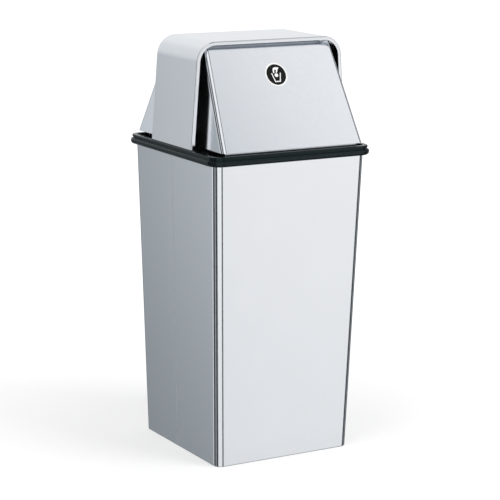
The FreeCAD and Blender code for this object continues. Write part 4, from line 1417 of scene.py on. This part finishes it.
@dataclass
class Studio:
    """Pale floor, soft light, the cards that the steel mirrors, and the camera.

    The cards are grey and black stretches of the world's colour, in three bands: deep below the horizon, low about
    it and high above it. Each band is a list of bearings, in degrees from the front, with their brightness.
    """

    lens: float = 139.65
    sensor: float = 36.0
    camera_place: Place = (-2.13303, -3.64562, 1.33935)
    camera_right: Triple = (0.86347554, -0.50427866, 0.0106315)
    camera_up: Triple = (0.09676746, 0.18630753, 0.97771446)
    camera_back: Triple = (-0.49502126, -0.84320374, 0.20966976)
    aim: Place = (0.0, 0.0, 0.45)
    key_place: Place = (2.2, -3.2, 3.6)
    key_size: float = 2.6
    key_power: float = 120.0
    fill_place: Place = (-3.0, -1.4, 3.0)
    fill_size: float = 2.2
    fill_share: float = 0.35
    even_light: float = 0.62
    floor_reach: float = 14.0
    floor_grey: float = 0.72
    shown_grey: float = 0.50
    glow_from: float = 0.35
    glow_to: float = 1.5
    near_glow: float = 0.52
    far_glow: float = 0.78
    card_tint: tuple[float, ...] = (0.86, 0.985, 1.08, 1.0)
    deep_to_low: tuple[float, float] = (-0.38, -0.20)
    low_to_high: tuple[float, float] = (-0.16, 0.20)
    deep_band: Stops = field(default_factory=lambda: [
        (-180, 0.70), (-177, 0.55), (-170, 0.13), (-157, 0.12), (-153, 0.23), (-150, 0.34), (-145, 0.47), (-138, 0.8),
        (-131, 0.8), (-127, 0.05), (-98, 0.05), (-94, 0.42), (-86, 0.42), (-82, 0.05), (-57, 0.05), (-53, 0.86),
        (4, 0.86), (6, 0.05), (23, 0.05), (26, 0.87), (32, 0.87), (47, 0.86), (50.5, 0.05), (81, 0.05), (86, 0.38),
        (94, 0.38), (98, 0.05), (126, 0.05), (131, 0.48), (139, 0.48), (143, 0.20), (168, 0.20), (173, 0.7),
        (180, 0.70)])
    low_band: Stops = field(default_factory=lambda: [
        (-180, 0.85), (-177, 0.65), (-170, 0.17), (-157, 0.17), (-153, 0.41), (-150, 0.65), (-147, 0.63), (-143, 0.70),
        (-138, 1.0), (-131, 1.0), (-127, 0.05), (-98, 0.05), (-94, 0.54), (-86, 0.54), (-82, 0.05), (-57, 0.05),
        (-53, 1.0), (4, 1.0), (6, 0.05), (23, 0.05), (26, 1.0), (47, 1.0), (50.5, 0.05), (81, 0.05), (86, 0.50),
        (94, 0.50), (98, 0.05), (126, 0.05), (131, 0.6), (140, 0.85), (180, 0.85)])
    high_band: Stops = field(default_factory=lambda: [
        (-180, 0.89), (-165, 0.80), (-150, 0.74), (-131, 0.74), (-127, 0.06), (-98, 0.06), (-94, 0.9), (-86, 0.9),
        (-82, 0.06), (-57, 0.06), (-53, 1.0), (-8, 1.0), (6, 0.95), (15, 0.70), (21, 0.12), (33, 0.14), (38, 0.74),
        (43, 1.0), (63, 1.0), (66, 0.05), (81, 0.05), (86, 0.75), (94, 0.75), (98, 0.06), (126, 0.06), (131, 0.7),
        (148, 0.89), (180, 0.89)])

    @staticmethod
    def band(tree: bpy.types.NodeTree, turn: bpy.types.NodeSocket, stops: Stops) -> bpy.types.NodeSocket:
        """Brightness round the horizon.

        Args:
            tree: The world's tree.
            turn: The bearing, 0 to 1 for -180 to 180 degrees from the front.
            stops: Bearings in degrees and their brightness.

        Returns:
            The brightness.
        """
        curve = add_node(tree, "ShaderNodeFloatCurve", {"Value": turn})
        line = curve.mapping.curves[0]
        curve.mapping.use_clip = False
        places = [((bearing + 180.0) / 360.0, level) for bearing, level in stops]
        line.points[0].location, line.points[-1].location = places[0], places[-1]
        for place in places[1:-1]:
            line.points.new(*place)
        for point in line.points:
            point.handle_type = "VECTOR"
        curve.mapping.update()
        return curve.outputs[0]

    def cards(self, tree: bpy.types.NodeTree) -> bpy.types.NodeSocket:
        """The brightness of the cards, by bearing and height.

        Args:
            tree: The world's tree.

        Returns:
            The brightness, 0 to 1.
        """
        towards = add_node(tree, "ShaderNodeTexCoord").outputs["Generated"]
        parts = add_node(tree, "ShaderNodeSeparateXYZ", {0: towards})
        ahead = calculate(tree, "MULTIPLY", parts.outputs[1], -1.0)
        bearing = calculate(tree, "ARCTAN2", parts.outputs[0], ahead)
        turn = calculate(tree, "MULTIPLY_ADD", bearing, 1.0 / (2 * math.pi), 0.5)
        deep, low, high = (self.band(tree, turn, stops) for stops in (self.deep_band, self.low_band, self.high_band))
        rise, lift = (
            add_node(tree, "ShaderNodeMapRange", {0: parts.outputs[2], 1: start, 2: end},
                     interpolation_type=kind).outputs[0]
            for (start, end), kind in ((self.deep_to_low, "LINEAR"), (self.low_to_high, "SMOOTHSTEP")))
        return blend_levels(tree, lift, blend_levels(tree, rise, deep, low), high)

    def world(self) -> None:
        """A white background for camera, mirrored and passed light, where only the steel sees cards stand in it."""
        world = bpy.data.worlds.new("studio")
        bpy.context.scene.world = world
        world.use_nodes = True
        tree = world.node_tree
        tree.nodes.clear()
        cards = self.cards(tree)
        path = add_node(tree, "ShaderNodeLightPath")
        seen = calculate(tree, "MAXIMUM", path.outputs["Is Camera Ray"], path.outputs["Is Transmission Ray"])
        mirrored = path.outputs["Is Glossy Ray"]
        background = calculate(tree, "MAXIMUM", seen, mirrored)
        tint = blend_colours(tree, mirrored, WHITE, blend_colours(tree, cards, self.card_tint, WHITE))
        white = add_node(tree, "ShaderNodeBackground",
                         {"Color": tint, "Strength": blend_levels(tree, mirrored, 1.0, cards)})
        even = add_node(tree, "ShaderNodeBackground", {"Color": WHITE, "Strength": self.even_light})
        shown = add_node(tree, "ShaderNodeMixShader", {0: background, 1: even.outputs[0], 2: white.outputs[0]})
        add_node(tree, "ShaderNodeOutputWorld", {0: shown.outputs[0]})

    def floor(self) -> None:
        """A wide pale floor that shows white to the camera and keeps the shadow."""
        mesh = bpy.data.meshes.new("studio_floor")
        corners = [(x * self.floor_reach, y * self.floor_reach, 0.0) for x, y in ((-1, -1), (1, -1), (1, 1), (-1, 1))]
        mesh.from_pydata(corners, [], [(0, 1, 2, 3)])
        floor = bpy.data.objects.new("studio_floor", mesh)
        bpy.context.collection.objects.link(floor)
        floor.visible_glossy = False
        material = bpy.data.materials.new("studio_floor_paint")
        material.use_nodes = True
        tree = material.node_tree
        tree.nodes.clear()
        path = add_node(tree, "ShaderNodeLightPath")
        paint, pale = (add_node(tree, "ShaderNodeBsdfDiffuse", {"Color": (grey, grey, grey, 1.0)})
                       for grey in (self.floor_grey, self.shown_grey))
        away = add_node(tree, "ShaderNodeVectorMath", {0: add_node(tree, "ShaderNodeTexCoord").outputs["Object"]},
                        operation="LENGTH").outputs["Value"]
        rising = add_node(tree, "ShaderNodeMapRange", {0: away, 1: self.glow_from, 2: self.glow_to,
                                                       3: self.near_glow, 4: self.far_glow}).outputs[0]
        glow = add_node(tree, "ShaderNodeEmission", {"Color": WHITE, "Strength": rising})
        lifted = add_node(tree, "ShaderNodeAddShader", {0: pale.outputs[0], 1: glow.outputs[0]})
        shown = add_node(tree, "ShaderNodeMixShader", {0: path.outputs["Is Camera Ray"], 1: paint.outputs[0],
                                                       2: lifted.outputs[0]})
        add_node(tree, "ShaderNodeOutputMaterial", {0: shown.outputs[0]})
        mesh.materials.append(material)

    def lamp(self, name: str, place: Place, size: float, power: float) -> None:
        """A soft area lamp aimed at the middle of the object, kept out of the steel's mirror image.

        Args:
            name: The lamp's name.
            place: Where it hangs.
            size: Side of its square.
            power: Its power in watts.
        """
        light = bpy.data.lights.new(name, "AREA")
        light.size, light.energy = size, power
        lamp = bpy.data.objects.new(name, light)
        lamp.location = place
        lamp.rotation_euler = (Vector(self.aim) - Vector(place)).to_track_quat("-Z", "Y").to_euler()
        lamp.visible_glossy = False
        bpy.context.collection.objects.link(lamp)

    def camera(self) -> None:
        """The camera at the photograph's viewing angle."""
        data = bpy.data.cameras.new("studio_camera")
        data.lens, data.sensor_width, data.sensor_fit = self.lens, self.sensor, "HORIZONTAL"
        camera = bpy.data.objects.new("studio_camera", data)
        turn = Matrix((self.camera_right, self.camera_up, self.camera_back)).transposed().to_4x4()
        camera.matrix_world = Matrix.Translation(self.camera_place) @ turn
        bpy.context.collection.objects.link(camera)
        bpy.context.scene.camera = camera

    def build(self) -> None:
        """Sets up the whole studio."""
        bpy.context.scene.view_settings.view_transform = "Standard"
        self.world()
        self.floor()
        self.lamp("key_lamp", self.key_place, self.key_size, self.key_power)
        self.lamp("fill_lamp", self.fill_place, self.fill_size, self.key_power * self.fill_share)
        self.camera()


def main() -> None:
    """Builds the studio and every sub-assembly in order."""
    logging.basicConfig(level=logging.INFO, format="%(message)s")
    workshop = Workshop()
    Studio().build()
    bin_body = BinBody(workshop)
    bin_body.build()
    bin_body.dress()
    RimBumper(workshop).build()
    hood = ArchedHood(workshop)
    hood.build()
    hood.dress()
    for side in Side:
        axis = HingeAxis(side)
        hinge = FlapHinge(workshop, axis)
        hinge.build()
        hinge.dress()
        StopBuffers(workshop, side).build()
        PushFlap(workshop, axis).build()
    LitterSign(workshop, HingeAxis(Side.FRONT)).build()


if __name__ == "__main__":
    main()
